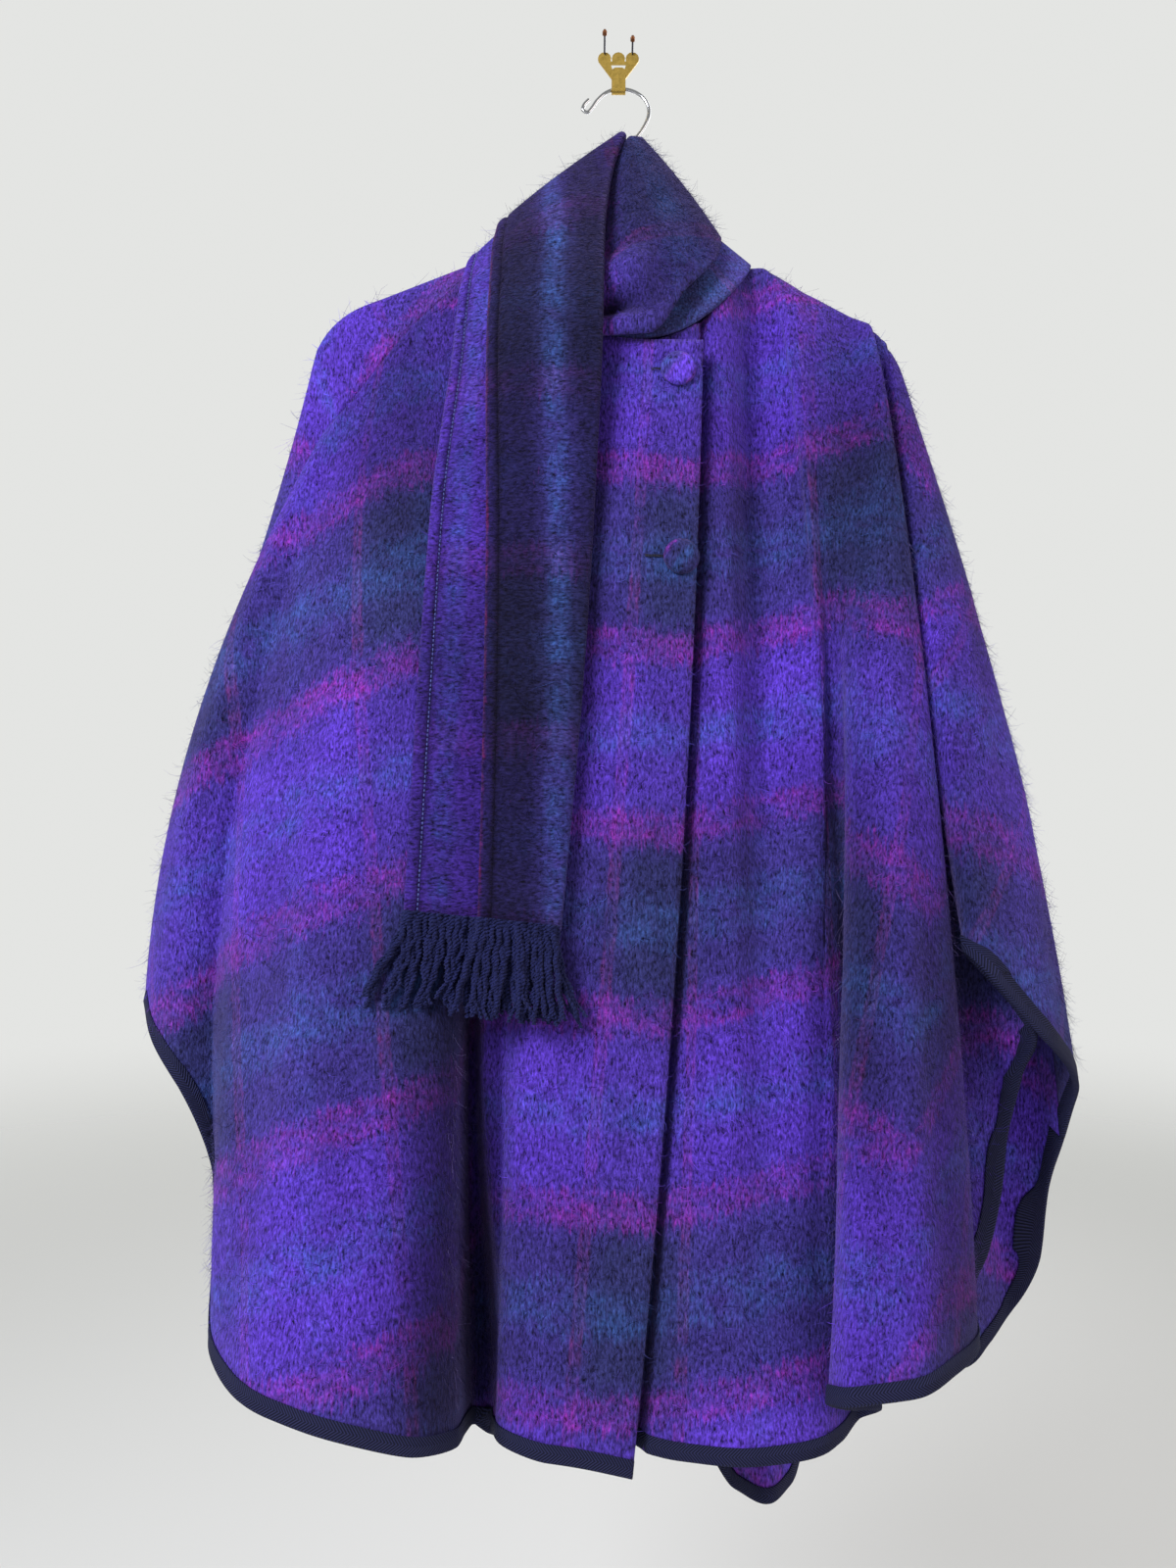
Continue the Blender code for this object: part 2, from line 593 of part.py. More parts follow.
def make_buttons(panel, cover):
    """Cloth-covered buttons: low domes with flat backs, turned to lie on the front."""
    rounds = [(0.90, 0.0), (1.0, 0.12), (0.98, 0.42), (0.76, 0.74), (0.42, 0.93)]
    profile = [(BUTTON_WIDE / 2 * wide, BUTTON_DEEP * tall) for wide, tall in rounds]
    for button in BUTTONS:
        near = np.array([button.across, button.across + 0.02])
        down = np.array([button.down, button.down + 0.004])
        patch = panel.points(near, down)
        out = Vector(normals(patch)[0, 0])
        piece = add_shape(button.name, turned(profile, 20), cover)
        piece.rotation_euler = out.to_track_quat("Z", "Y").to_euler()
        piece.location = (Vector(patch[0, 0]) + out * (CLOTH / 2 + 2 * REST_GAP)) * MM


def lean_y(z):
    """The plane that the hanger hangs in."""
    return HOOK_Y - LEAN * (HOOK_Z - z)


def arm_top(x):
    """Top of the hanger's arms: two slopes that meet in a round peak."""
    reach = x - HANGER_X
    slope = np.sqrt(reach * reach + HANGER_ROUND * HANGER_ROUND) - HANGER_ROUND
    return HANGER_PEAK - HANGER_SLOPE * slope - HANGER_TILT * reach


def make_hanger_bar(wood):
    """Two sloping arms in one bar of oval section, narrowed towards its ends."""
    places = np.sin(np.linspace(-pi / 2, pi / 2, BAR_STATIONS))
    rings = []
    for place in places:
        x = HANGER_X + HANGER_REACH * place
        slim = max(ARM_TIP, (1 - abs(place) ** 10)) ** 0.5
        tall = (ARM_TALL - ARM_TAPER * abs(place)) * slim
        thick = ARM_THICK * slim
        middle = float(arm_top(x)) - tall - ARM_DROOP * abs(place) ** 12
        for k in range(BAR_SIDES):
            a = 2 * pi * (k + 0.5) / BAR_SIDES
            z = middle + tall * sin(a) / sin(pi * 0.375)
            rings.append((x, lean_y(z) + thick * cos(a) / cos(pi / 8), z))
    shape = bmesh.new()
    verts = [shape.verts.new(p) for p in rings]
    for face in grid_faces(BAR_STATIONS, BAR_SIDES, closed=True):
        shape.faces.new([verts[k] for k in face])
    shape.faces.new(verts[:BAR_SIDES])
    shape.faces.new(verts[-BAR_SIDES:])
    add_shape("hanger_bar", shape, wood)


def make_hanger_hook(chrome):
    """The hanger's wire hook, a smooth curve through its route."""
    route = [(x, lean_y(z), z) for x, z in WIRE_ROUTE]
    smooth = flowing(route, np.linspace(0, len(route) - 1, 2 * (len(route) - 1) + 1))
    curve = bpy.data.curves.new("hanger_hook", "CURVE")
    curve.dimensions = "3D"
    spline = curve.splines.new("POLY")
    spline.points.add(len(smooth) - 1)
    for point, place in zip(spline.points, smooth):
        point.co = (*(place * MM), 1.0)
    curve.bevel_depth = WIRE / 2 * MM
    curve.bevel_resolution = 2
    curve.use_fill_caps = True
    add_object("hanger_hook", curve, chrome)


def plate_outline():
    """Front outline of the wall hook's plate, from its neck round the lobes."""
    points = [(NECK_WIDE / 2, NECK_Z)]
    for x in reversed(LOBES_X):
        for turn in np.linspace(-LOBE_PAST, pi + LOBE_PAST, 9):
            points.append((x + LOBE_RADIUS * cos(turn), PLATE_TOP + LOBE_RADIUS * sin(turn)))
    points.append((-NECK_WIDE / 2, NECK_Z))
    return points


def strip_route():
    """Pairs of outer and inner places (y, z) of the strip, from the neck to the tongue's tip."""
    half = PLATE_THICK / 2
    pairs = [((0.0, BEND_Z), (-PLATE_THICK, BEND_Z))]
    radius = -HOOK_Y - half
    for turn in np.linspace(0, pi, 9)[1:]:
        outer = (HOOK_Y + (radius + half) * cos(turn), BEND_Z - (radius + half) * sin(turn))
        inner = (HOOK_Y + (radius - half) * cos(turn), BEND_Z - (radius - half) * sin(turn))
        pairs.append((outer, inner))
    for z in (TONGUE_TOP - TONGUE_ROUND, TONGUE_TOP - 0.3 * TONGUE_ROUND, TONGUE_TOP):
        pairs.append(((pairs[8][0][0], z), (pairs[8][1][0], z)))
    return pairs


def make_wall_hook(brass):
    """The plate, with a window cut in it, and the strip bent up from its neck."""
    shape = bmesh.new()
    outline = plate_outline()
    front = [shape.verts.new((x, -PLATE_THICK, z)) for x, z in outline]
    back = [shape.verts.new((x, 0.0, z)) for x, z in outline]
    shape.faces.new(front)
    shape.faces.new(back[::-1])
    for k in range(len(outline) - 1):
        shape.faces.new((front[k], front[k + 1], back[k + 1], back[k]))
    ring = [back[-1], back[0], front[0], front[-1]]
    route = strip_route()
    widths = [NECK_WIDE] * (len(route) - 2) + [NECK_WIDE * 0.86, NECK_WIDE * 0.5]
    for (outer, inner), wide in zip(route, widths):
        corners = [(-1, outer), (1, outer), (1, inner), (-1, inner)]
        after = [shape.verts.new((side * wide / 2, y, z)) for side, (y, z) in corners]
        for k in range(4):
            shape.faces.new((ring[k], ring[(k + 1) % 4], after[(k + 1) % 4], after[k]))
        ring = after
    shape.faces.new(ring)
    hook = add_shape("wall_hook", shape, brass)
    window = hook.modifiers.new("window", "BOOLEAN")
    window.operation = "DIFFERENCE"
    window.object = window_cutter()


def window_cutter():
    """A trapezium that cuts the window out of the plate."""
    shape = bmesh.new()
    near = [shape.verts.new((x, -3 * PLATE_THICK, z)) for x, z in WINDOW]
    far = [shape.verts.new((x, 2 * PLATE_THICK, z)) for x, z in WINDOW]
    shape.faces.new(near)
    shape.faces.new(far[::-1])
    for k in range(4):
        shape.faces.new((near[k], near[k - 1], far[k - 1], far[k]))
    cut = add_shape("window_cutter", shape, None)
    cut.hide_render = True
    cut.display_type = "WIRE"
    return cut


def make_pins(steel):
    """Pins driven in at a slant: a thin shank and a domed head, ending clear of the plate."""
    slant = radians(PIN_SLANT)
    heel = PIN_WIDE / 2 * sin(slant) / cos(slant) + REST_GAP / cos(slant)
    for pin in PINS:
        length = pin.length
        profile = [(PIN_WIDE / 2, heel), (PIN_WIDE / 2, length), (PIN_HEAD_WIDE / 2, length),
                   (PIN_HEAD_WIDE / 2, length + 0.6 * PIN_HEAD_TALL), (PIN_HEAD_WIDE / 4, length + PIN_HEAD_TALL)]
        piece = add_shape(pin.name, turned(profile, 10), steel)
        piece.rotation_euler = (radians(90) - slant, 0.0, 0.0)
        piece.location = Vector((pin.x, -PLATE_THICK, pin.z)) * MM


def turned(profile, sides):
    """A closed solid of revolution about Z, from (radius, height) rows, bottom to top."""
    shape = bmesh.new()
    turns = [2 * pi * k / sides for k in range(sides)]
    loops = [[shape.verts.new((r * cos(a), r * sin(a), h)) for a in turns] for r, h in profile]
    shape.faces.new(loops[0])
    for low, high in zip(loops, loops[1:]):
        for k in range(sides):
            shape.faces.new((low[k - 1], low[k], high[k], high[k - 1]))
    shape.faces.new(loops[-1])
    return shape


def add_shape(name, shape, finish):
    """An object from a mesh in millimetres, with its faces turned outwards."""
    bmesh.ops.recalc_face_normals(shape, faces=shape.faces)
    bmesh.ops.scale(shape, vec=(MM, MM, MM), verts=shape.verts)
    mesh = bpy.data.meshes.new(name)
    shape.to_mesh(mesh)
    shape.free()
    mesh.shade_smooth()
    mesh.set_sharp_from_angle(angle=radians(40))
    return add_object(name, mesh, finish)


def main():
    for piece in list(bpy.data.objects):
        bpy.data.objects.remove(piece)
    cloth = material("brushed mohair", (0.07, 0.04, 0.22), 0.95)
    braid = material("woven braid", (0.03, 0.035, 0.08), 0.85)
    yarn = material("navy yarn", (0.01, 0.012, 0.05), 0.9)
    chrome = material("chromed wire", (0.75, 0.75, 0.76), 0.15, 1.0)
    wood = material("waxed wood", (0.42, 0.27, 0.14), 0.5)
    brass = material("pressed brass", (0.75, 0.52, 0.2), 0.3, 1.0)
    panels = make_panels(cloth, braid)
    make_collar(cloth)
    make_scarf_cross(cloth)
    under, over, drop, out = make_scarf_tail(cloth)
    make_fringe("fringe_under", under, drop, out, UNDER_STRANDS, UNDER_SPREAD, UNDER_LIFT, yarn)
    make_fringe("fringe_over", over[::-1], drop[-1:].repeat(len(over), axis=0),
                out[-1:].repeat(len(over), axis=0), OVER_STRANDS, OVER_SPREAD, OVER_LIFT, yarn)
    make_buttons(panels["front_right"], cloth)
    make_hanger_bar(wood)
    make_hanger_hook(chrome)
    make_wall_hook(brass)
    make_pins(brass)


main()
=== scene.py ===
"""Looks of a plaid mohair cape with an attached scarf, on a hanger and a brass wall hook.

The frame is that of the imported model: origin on the flat back of the wall hook, +Z up and +Y
into the wall. The tables are in millimetres, and every mesh is made in metres.
"""

from collections import namedtuple
from math import cos, pi, radians, sin

import bpy
import numpy as np
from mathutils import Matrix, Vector


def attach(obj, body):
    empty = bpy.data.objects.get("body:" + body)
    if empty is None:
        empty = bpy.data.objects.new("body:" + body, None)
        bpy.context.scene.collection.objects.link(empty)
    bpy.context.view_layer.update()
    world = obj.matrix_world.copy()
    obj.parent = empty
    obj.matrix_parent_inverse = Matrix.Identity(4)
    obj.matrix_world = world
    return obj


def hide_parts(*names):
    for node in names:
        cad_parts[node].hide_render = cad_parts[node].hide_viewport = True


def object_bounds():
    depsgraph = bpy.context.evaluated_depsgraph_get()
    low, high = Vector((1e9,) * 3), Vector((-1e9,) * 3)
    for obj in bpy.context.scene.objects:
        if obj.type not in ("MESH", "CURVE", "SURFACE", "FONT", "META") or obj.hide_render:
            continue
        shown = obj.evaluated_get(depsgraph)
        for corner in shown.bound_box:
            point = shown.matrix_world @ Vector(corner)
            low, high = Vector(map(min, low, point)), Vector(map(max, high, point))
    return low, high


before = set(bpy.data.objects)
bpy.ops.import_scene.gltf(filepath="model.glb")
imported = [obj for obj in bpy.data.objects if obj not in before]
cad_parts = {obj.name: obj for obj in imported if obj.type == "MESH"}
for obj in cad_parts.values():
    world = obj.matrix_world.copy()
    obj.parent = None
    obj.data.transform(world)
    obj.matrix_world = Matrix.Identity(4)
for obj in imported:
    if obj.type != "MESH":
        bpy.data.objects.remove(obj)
CAD_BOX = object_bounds()

bl_info = {
    "name": "Plaid mohair cape",
    "version": (1, 0, 0),
    "blender": (4, 5, 0),
    "location": "View3D > Sidebar > Cape",
    "description": "Dresses the solids of a hanging cape in mohair, braid, yarn and metal",
    "category": "Object",
}

MM = 0.001

# Sizes of the garment's solids, in millimetres
CLOTH = 2.4            # brushed mohair cloth
SCARF_PLY = 5.0        # distance between the two layers of the folded scarf
HOOK_Y = -4.6          # the hanger hangs in a plane that leaves the wall here
HOOK_Z = -22.9         # top of the hanger hook, at its wire's middle
LEAN = 0.125           # how far the hanger leans out, per unit of drop
SHOULDER_CLEAR = 7.0   # wrapped cloth hangs this far from the hanger's plane
FALL = 12.0            # by this far below the crown
WIRE = 2.9             # hanger hook

# Fibres of the nap: their least and greatest length, how far their tips lift off the cloth, their
# width, and how much they turn from the fall of the cloth
Fibre = namedtuple("Fibre", "short long low high wide turn")

PILE = Fibre(3.0, 8.0, 0.5, 2.6, 0.4, 1.0)
LOOSE = Fibre(6.0, 18.0, 2.5, 9.0, 0.26, 1.0)
LOOSE_SHARE = 0.32     # share of the fibres that stand off the cloth
BARE_ROWS = 3          # rows of the cloth above the hem that have no roots of fibres
FIBRE_STEPS = 4

# How the stripes of one direction lie: how far the brushed fibres drag them, in metres, and, as
# shares of a repeat, how far the wide stripes blur, how far apart and wide the fine ones are, and
# how wide the band midway is
Sett = namedtuple("Sett", "drag blur apart wide band")

WARP_SETT = Sett(0.0008, 0.07, 0.016, 0.0045, 0.05)
WEFT_SETT = Sett(0.006, 0.1, 0.024, 0.03, 0.085)

# A mohair finish: the share of its colour that the weft gives, how far the fine stripes of the warp
# and the weft cover it, how bright it is, if it is bumpy, and how wide and tall its clumps are
Mohair = namedtuple("Mohair", "weft_share warp_lines weft_lines bright bumpy wide tall")

MOHAIR = {
    "brushed mohair": Mohair(0.72, 0.26, 0.84, 1.0, True, 1.4, 4.0),
    "loose mohair": Mohair(0.72, 0.26, 0.84, 1.2, False, 1.4, 4.0),
    "scarf mohair": Mohair(0.2, 0.9, 0.3, 1.0, True, 3.6, 1.6),
    "loose scarf mohair": Mohair(0.2, 0.9, 0.3, 1.1, False, 3.6, 1.6),
}

# Painted shade on a front, where its folds fall in shadow: the middle of each place, how far it reaches,
# and how dark it is painted
PaintedShade = namedtuple("PaintedShade", "x z wide tall dark")

FRONT_RIGHT_PAINTED_SHADES = [
    PaintedShade(-165, -300, 62, 110, 0.55),
    PaintedShade(-118, -860, 32, 270, 0.75),
    PaintedShade(-20, -400, 12, 210, 0.45),
]
FRONT_LEFT_PAINTED_SHADES = [
    PaintedShade(185, -310, 55, 90, 0.45),
    PaintedShade(162, -700, 22, 260, 0.45),
    PaintedShade(222, -800, 30, 250, 0.65),
]

# A row of the neck and shoulder line: the cloth's edge, the crown that the cloth passes
# over where it wraps across the shoulder, how far it wraps (0 or 1), and how far the
# edges of front and back lie apart where both hang down from one line
Station = namedtuple("Station", "name x y z crown_x crown_y crown_z wrap apart")

NECK_LEFT = [
    Station("left edge", 22, -76, -246, 22, -76, -246, 0, 0),
    Station("left throat", 48, -72, -235, 48, -72, -235, 0, 0),
    Station("left neck", 79, -58, -208, 79, -58, -208, 0, 0),
    Station("before the arm", 95, -32, -183, 95.5, -32, -186, 1, 0),
    Station("over the arm", 102, -24, -173, 102, -27, -174, 1, 0),
]
NECK_RIGHT = [
    Station("right edge", 60, -84, -247, 60, -84, -247, 0, 0),
    Station("right placket", 22, -85, -247, 22, -85, -247, 0, 0),
    Station("right throat", -15, -81, -242, -15, -81, -242, 0, 0),
    Station("right neck front", -53, -67, -222, -53, -67, -222, 0, 0),
    Station("right neck", -85, -51, -196, -85, -51, -196, 0, 0),
]
NECK_BACK = [
    Station("back neck, +X", 78, -14, -168, 78, -14, -168, 0, 0),
    Station("back neck", 0, -12, -163, 0, -12, -163, 0, 0),
    Station("back neck, -X", -80, -14, -163, -80, -14, -163, 0, 0),
    Station("behind the arm", -97, -15.5, -161.5, -97, -15.6, -166, 1, 0),
    Station("over the arm", -106, -23, -163, -106.5, -19.5, -164, 1, 0),
]
SHOULDER_LEFT = [
    Station("neck", 108, -16, -184, 108, -24, -176.5, 1, 0),
    Station("inner", 140, -16, -206, 140, -26, -193.5, 1, 0),
    Station("middle", 172, -18, -224, 172, -28.5, -211, 1, 0),
    Station("outer", 197, -20, -243, 197, -30, -226.5, 1, 0),
    Station("tip", 206, -22, -250, 207.5, -30, -239, 1, 0.8),
    Station("arm", 214, -24, -268, 215, -27, -266, 0, 2.0),
]
SHOULDER_RIGHT = [
    Station("neck", -114, -32, -176, -114, -23, -169.5, 1, 0),
    Station("inner", -133, -37, -198, -140, -24.5, -180.5, 1, 0),
    Station("middle", -159, -41, -224, -172, -27, -194.5, 1, 0),
    Station("outer", -184, -43, -255, -203, -29.5, -209.5, 1, 0),
    Station("tip", -209, -42, -286, -225, -30, -236, 1, 0.6),
    Station("arm", -226, -35, -303, -240, -27, -305, 0, 2.0),
]

# A fold of a panel hangs from the place "at" along its top edge, counted in stations,
# to a point of the hem, and swells by its bow at half height
Fold = namedtuple("Fold", "name at x y z bow_x bow_y")

FRONT_RIGHT = [
    Fold("overlap edge", 0.0, 5, -178, -1029, 8, 0),
    Fold("placket", 1.0, -20, -181, -1022, 4, 0),
    Fold("centre", 2.0, -50, -181, -1017, 0, 0),
    Fold("valley, centre side", 2.7, -86, -158, -1013, -29, 0),
    Fold("valley", 3.15, -94, -122, -1027, -25, 0),
    Fold("valley, far side", 3.35, -103, -120, -1021, -22, 0),
    Fold("valley, flute side", 3.75, -108, -150, -1012, -16, 0),
    Fold("flute, centre side", 4.3, -110, -187, -1003, -10, 0),
    Fold("flute, rise", 4.8, -138, -219, -994, 0, -2),
    Fold("flute crest", 5.3, -182, -228, -980, 0, -4),
    Fold("flute, top", 5.9, -218, -220, -972, -4, -4),
    Fold("flute, outer side", 6.6, -247, -205, -965, -8, -4),
    Fold("flute edge", 7.9, -279, -156, -949, -30, 0),
    Fold("tuck", 8.5, -285, -116, -906, -34, 0),
    Fold("tuck floor", 8.9, -295, -95, -846, -32, 0),
    Fold("arm fold", 9.3, -316, -98, -792, -27, 0),
    Fold("wrist", 9.65, -340, -84, -760, -26, -6),
    Fold("arm seam", 10.0, -357, -52, -735, -28, 0),
]
FRONT_LEFT = [
    Fold("under edge", 0.0, -8, -164, -1012, 0, 0),
    Fold("placket", 1.0, 38, -172, -1020, 0, 0),
    Fold("centre", 2.0, 79, -178, -1021, 0, 0),
    Fold("centre, outer side", 4.0, 124, -174, -1018, 30, -2),
    Fold("pleat, inner side", 5.0, 146, -153, -1017, 24, -8),
    Fold("pleat, under", 5.6, 164, -131, -1011, 13, -11),
    Fold("pleat turn", 6.0, 176, -141, -1001, 6, -9),
    Fold("pleat, back of lip", 6.3, 149, -168, -988, 11, -4),
    Fold("flute lip", 6.6, 130, -190, -974, 12, 0),
    Fold("flute, centre side", 6.85, 146, -212, -966, 12, 0),
    Fold("flute crest", 7.1, 182, -216, -959, 10, -4),
    Fold("flute, outer side", 7.3, 214, -192, -954, 10, -12),
    Fold("flute edge", 7.5, 240, -152, -952, 13, -18),
    Fold("tuck", 7.65, 244, -114, -936, 8, 0),
    Fold("corner, low", 7.78, 262, -99, -908, 4, 0),
    Fold("corner", 7.92, 274, -91, -868, 4, 0),
    Fold("corner, high", 8.05, 281, -86, -824, 4, 0),
    Fold("inner turn", 8.2, 291, -86, -784, 2, 0),
    Fold("inner turn, front", 8.35, 297, -99, -757, 4, 0),
    Fold("return", 8.5, 282, -110, -733, 4, 0),
    Fold("outer turn", 8.65, 246, -117, -694, -3, 0),
    Fold("outer turn, front", 8.85, 239, -130, -687, -5, 0),
    Fold("arm fold", 9.08, 252, -143, -702, 0, -4),
    Fold("arm crest", 9.3, 292, -130, -746, 10, -6),
    Fold("wrist", 9.55, 325, -94, -777, 14, -8),
    Fold("wrist edge", 9.8, 339, -62, -805, 17, -6),
    Fold("arm seam", 10.0, 337, -42, -840, 21, 0),
]
BACK = [
    Fold("arm seam, +X", 0.0, 337, -42, -840, 21, 0),
    Fold("wrist, +X", 0.5, 331, -25, -884, 18, 4),
    Fold("arm flute, +X", 0.9, 327, -19, -938, 8, 0),
    Fold("hollow 1", 1.3, 307, -15, -980, 4, 0),
    Fold("rise 1", 1.7, 282, -36, -998, 0, 0),
    Fold("flute 1", 2.0, 262, -50, -1010, 0, 0),
    Fold("hollow 2", 2.4, 228, -18, -1028, 0, 0),
    Fold("flute 2", 3.0, 192, -40, -1036, 0, 0),
    Fold("hollow 3", 3.7, 150, -16, -1070, 0, 0),
    Fold("rise 3", 4.2, 129, -42, -1103, 0, 0),
    Fold("flute 3", 4.6, 109, -62, -1107, 0, 0),
    Fold("fall 3", 5.0, 88, -44, -1105, 0, 0),
    Fold("hollow 4", 5.8, 54, -14, -1072, 0, 0),
    Fold("flute 4", 6.5, 4, -48, -1068, 0, 0),
    Fold("hollow 5", 7.0, -46, -14, -1068, 0, 0),
    Fold("flute 5", 7.6, -97, -48, -1052, 0, 0),
    Fold("hollow 6", 8.6, -150, -14, -1044, 0, 0),
    Fold("rise 6", 10.0, -176, -30, -1032, 0, 0),
    Fold("flute 6", 11.1, -200, -44, -1016, 0, 0),
    Fold("hollow 7", 12.3, -250, -14, -972, -4, 0),
    Fold("flute 7", 13.3, -284, -34, -908, -12, 0),
    Fold("hollow 8", 14.3, -320, -14, -832, -20, 0),
    Fold("wrist, -X", 15.3, -348, -24, -776, -26, 4),
    Fold("arm seam, -X", 16.0, -357, -52, -735, -28, 0),
]

# Places down a panel, from its top edge (0) to its hem (1)
KNOTS = np.array([0.0, 0.07, 0.13, 1.0])
DOWN = np.concatenate([np.linspace(0, 0.13, 19), np.linspace(0.13, 1, 84)[1:]])
FINE = 6               # columns from one fold to the next
GAP_WIDE = 4.0         # the gap that the left front leaves along the lapping edge
GAP_DEEP = 9.0
LAPPED_COLUMNS = np.linspace(0.2, 1.6, 43)   # more columns where an edge laps over the cloth
NUDGE = 1e-3           # step for directions on the cloth
CREASE_PAINTED_SHADE = 0.035   # painted shade: how much darker a crease's trough, or the sunk gap by a lapping edge, is painted for each millimetre of its depth; a ridge is painted lighter
HANG_ROW = 38          # the cloth is laid flat from this row, below the shoulders

# A soft crease of a panel, upright from top to bottom and leaning by the way, as wide and as
# deep as given; a trough is negative, a ridge positive
Crease = namedtuple("Crease", "x top bottom lean wide deep")

FRONT_RIGHT_CREASES = [
    Crease(-38, -560, -1020, 6, 18, -1.6),
    Crease(-12, -640, -960, -4, 14, 1.0),
    Crease(-64, -430, -900, -6, 15, 1.4),
    Crease(-80, -520, -1060, -18, 9, -14.0),
    Crease(-168, -470, -900, -14, 16, -3.2),
    Crease(-206, -520, -985, -24, 15, 2.6),
    Crease(-226, -430, -760, -40, 17, -3.0),
    Crease(-262, -560, -800, -34, 14, 2.4),
    Crease(-240, -700, -960, -20, 11, -2.4),
    Crease(-152, -760, -1000, 6, 10, 1.8),
]
FRONT_LEFT_CREASES = [
    Crease(60, -420, -900, 10, 18, -1.0),
    Crease(88, -520, -1010, 16, 18, 1.4),
    Crease(158, -400, -1060, -32, 8, -6.0),
    Crease(176, -420, -800, 24, 14, 2.6),
    Crease(196, -560, -950, 18, 11, -2.6),
    Crease(154, -700, -960, -4, 9, 1.8),
    Crease(258, -430, -640, 26, 9, -3.0),
    Crease(280, -520, -760, 30, 13, 2.4),
    Crease(300, -600, -790, 20, 9, -2.0),
]
BACK_CREASES = [
    Crease(0, -230, -760, 8, 20, -3.0),
    Crease(58, -300, -900, 14, 16, 2.6),
    Crease(-64, -260, -820, -10, 18, 2.8),
    Crease(120, -420, -980, 20, 14, -2.8),
    Crease(-132, -380, -900, -22, 16, -2.8),
    Crease(186, -380, -860, 40, 15, 2.4),
    Crease(-198, -340, -780, -44, 17, 2.6),
    Crease(244, -480, -820, 44, 12, -2.4),
    Crease(-262, -460, -760, -46, 12, -2.6),
    Crease(26, -760, -1040, -8, 11, 2.0),
    Crease(-110, -820, -1020, 6, 10, 1.8),
]

# How a panel is cut on the cloth: a reference fold, its place on the warp, the height there
# of a magenta weft line between navy above and violet below, and the slant of the weft.
# From the warp place near to far the cloth turns to the bias: its weft lies sparser, by a
# share of the way below top, and it falls as listed by the distance across
Grain = namedtuple("Grain", "across warp level slant near far sparse top falls")
OUTER_WARP = 77.0      # place on the warp of the hanging end's outer edge
EDGE_LINE = 2.4        # and of its other edge, past the middle of a pair of fine stripes
CROSS_WEFT = 150.0     # place on the weft of the scarf beside the neck
CROSS_WARP = 156.0     # and on the warp of its upper edge
CROSS_SLACK = 0.6      # share of its length and height that its folds leave in sight
CROSS_TONE = 0.62
CROSS_STEPS = 12       # points from one of its sections to the next
NECK_SIDE = 3          # its section beside the neck
COLLAR_WARP = 130.0    # place on the warp of the collar's throat
COLLAR_WEFT = 178.0    # and on the weft of its upper edge
# painted light: the collar's cloth is painted lighter than the cape, against the shade it lies in below
# the scarf
COLLAR_PAINTED_LIGHT = 1.35

# A section of the collar's ring: its lower edge on the neckline and its upper edge
Ring = namedtuple("Ring", "name x y z top_x top_y top_z")

COLLAR = [
    Ring("throat", 18, -82, -244.2, 16, -62, -212),
    Ring("left throat", 49, -74, -233.3, 40, -57, -202),
    Ring("left front", 80, -59, -206.4, 62, -45, -178),
    Ring("left side", 101, -27, -171.5, 77, -25, -151),
    Ring("left back", 78, -14.6, -167.5, 58, -15, -146),
    Ring("back", 0, -12.5, -162.8, 0, -14, -140),
    Ring("right back", -82, -15.2, -162.2, -62, -16.5, -145),
    Ring("right side", -103, -26, -161.6, -78, -24, -145),
    Ring("right front", -84, -53, -195.2, -70, -42, -166),
    Ring("right throat", -52, -69, -221.0, -46, -54, -190),
    Ring("under the scarf", -15, -82, -241.2, -14, -62, -208),
]

# A section of the scarf where it crosses the throat, from its lower to its upper edge
Wrap = namedtuple("Wrap", "name x y z top_x top_y top_z swell")

SCARF_CROSS = [
    Wrap("nape", 2, -6, -136, 9, -6, -80, 0),
    Wrap("behind", 40, -7, -137, 13, -6, -69, 0),
    Wrap("side, back", 70, -13, -143, 17, -8, -66, 1),
    Wrap("side", 78, -26, -149.1, 18, -13, -66, 2),
    Wrap("side, front", 73, -53, -174, 14, -17, -67, 4),
    Wrap("throat, +X", 48, -77, -207, 9, -20, -68, 7),
    Wrap("throat", 20, -92, -245, 5, -23.5, -73, 8),
    Wrap("under the tail", -16, -93, -247, -10, -27, -100, 5),
    Wrap("tucked", -52, -80, -222, -34, -29, -124, 3),
    Wrap("tucked end", -74, -63, -200, -57, -31, -142, 2),
]

# A section of the hanging end of the scarf: its outer edge, its folded edge, and how much
# of its width the upper layer leaves bare
Tail = namedtuple("Tail", "name x y z fold_x fold_y fold_z bare swell")

SCARF_TAIL = [
    Tail("behind", -98, -9, -166, -16, -8, -112, 0.20, 0),
    Tail("ridge", -114, -22, -164.5, 4, -19, -69, 0.22, 3),
    Tail("over", -118, -38, -180, -6, -38, -100, 0.24, 6),
    Tail("fall", -121, -46, -197, -14, -73, -164, 0.27, 9),
    Tail("chest", -125, -60, -250, -16, -103, -250, 0.29, 9),
    Tail("breast", -138, -86, -367, -22, -107, -368, 0.37, 5),
    Tail("waist", -144, -119, -505, -31, -123, -505, 0.42, 2),
    Tail("end", -149, -155, -660, -46, -145, -671, 0.48, 2),
]

# A button lies on the right front, between folds of that panel and down its length; its cover is
# cut at a place on the warp and the weft, is skewed by its gathers, and has a tone; its hole is as
# long as given from the button's middle
Button = namedtuple("Button", "name across down warp weft skew tone hole")

BUTTONS = [
    Button("button_top", 0.47, 0.0293, 60, 110, 9.0, 1.5, 20.0),
    Button("button_lower", 0.30, 0.2077, 134, 205, 4.5, 0.9, 27.0),
]
BUTTON_WIDE = 26.0
BUTTON_DEEP = 8.0
HOLE_LIP = 0.6         # from the middle of a slit to its lips
HOLE_TWIST = 0.42      # radius of the twist that edges it

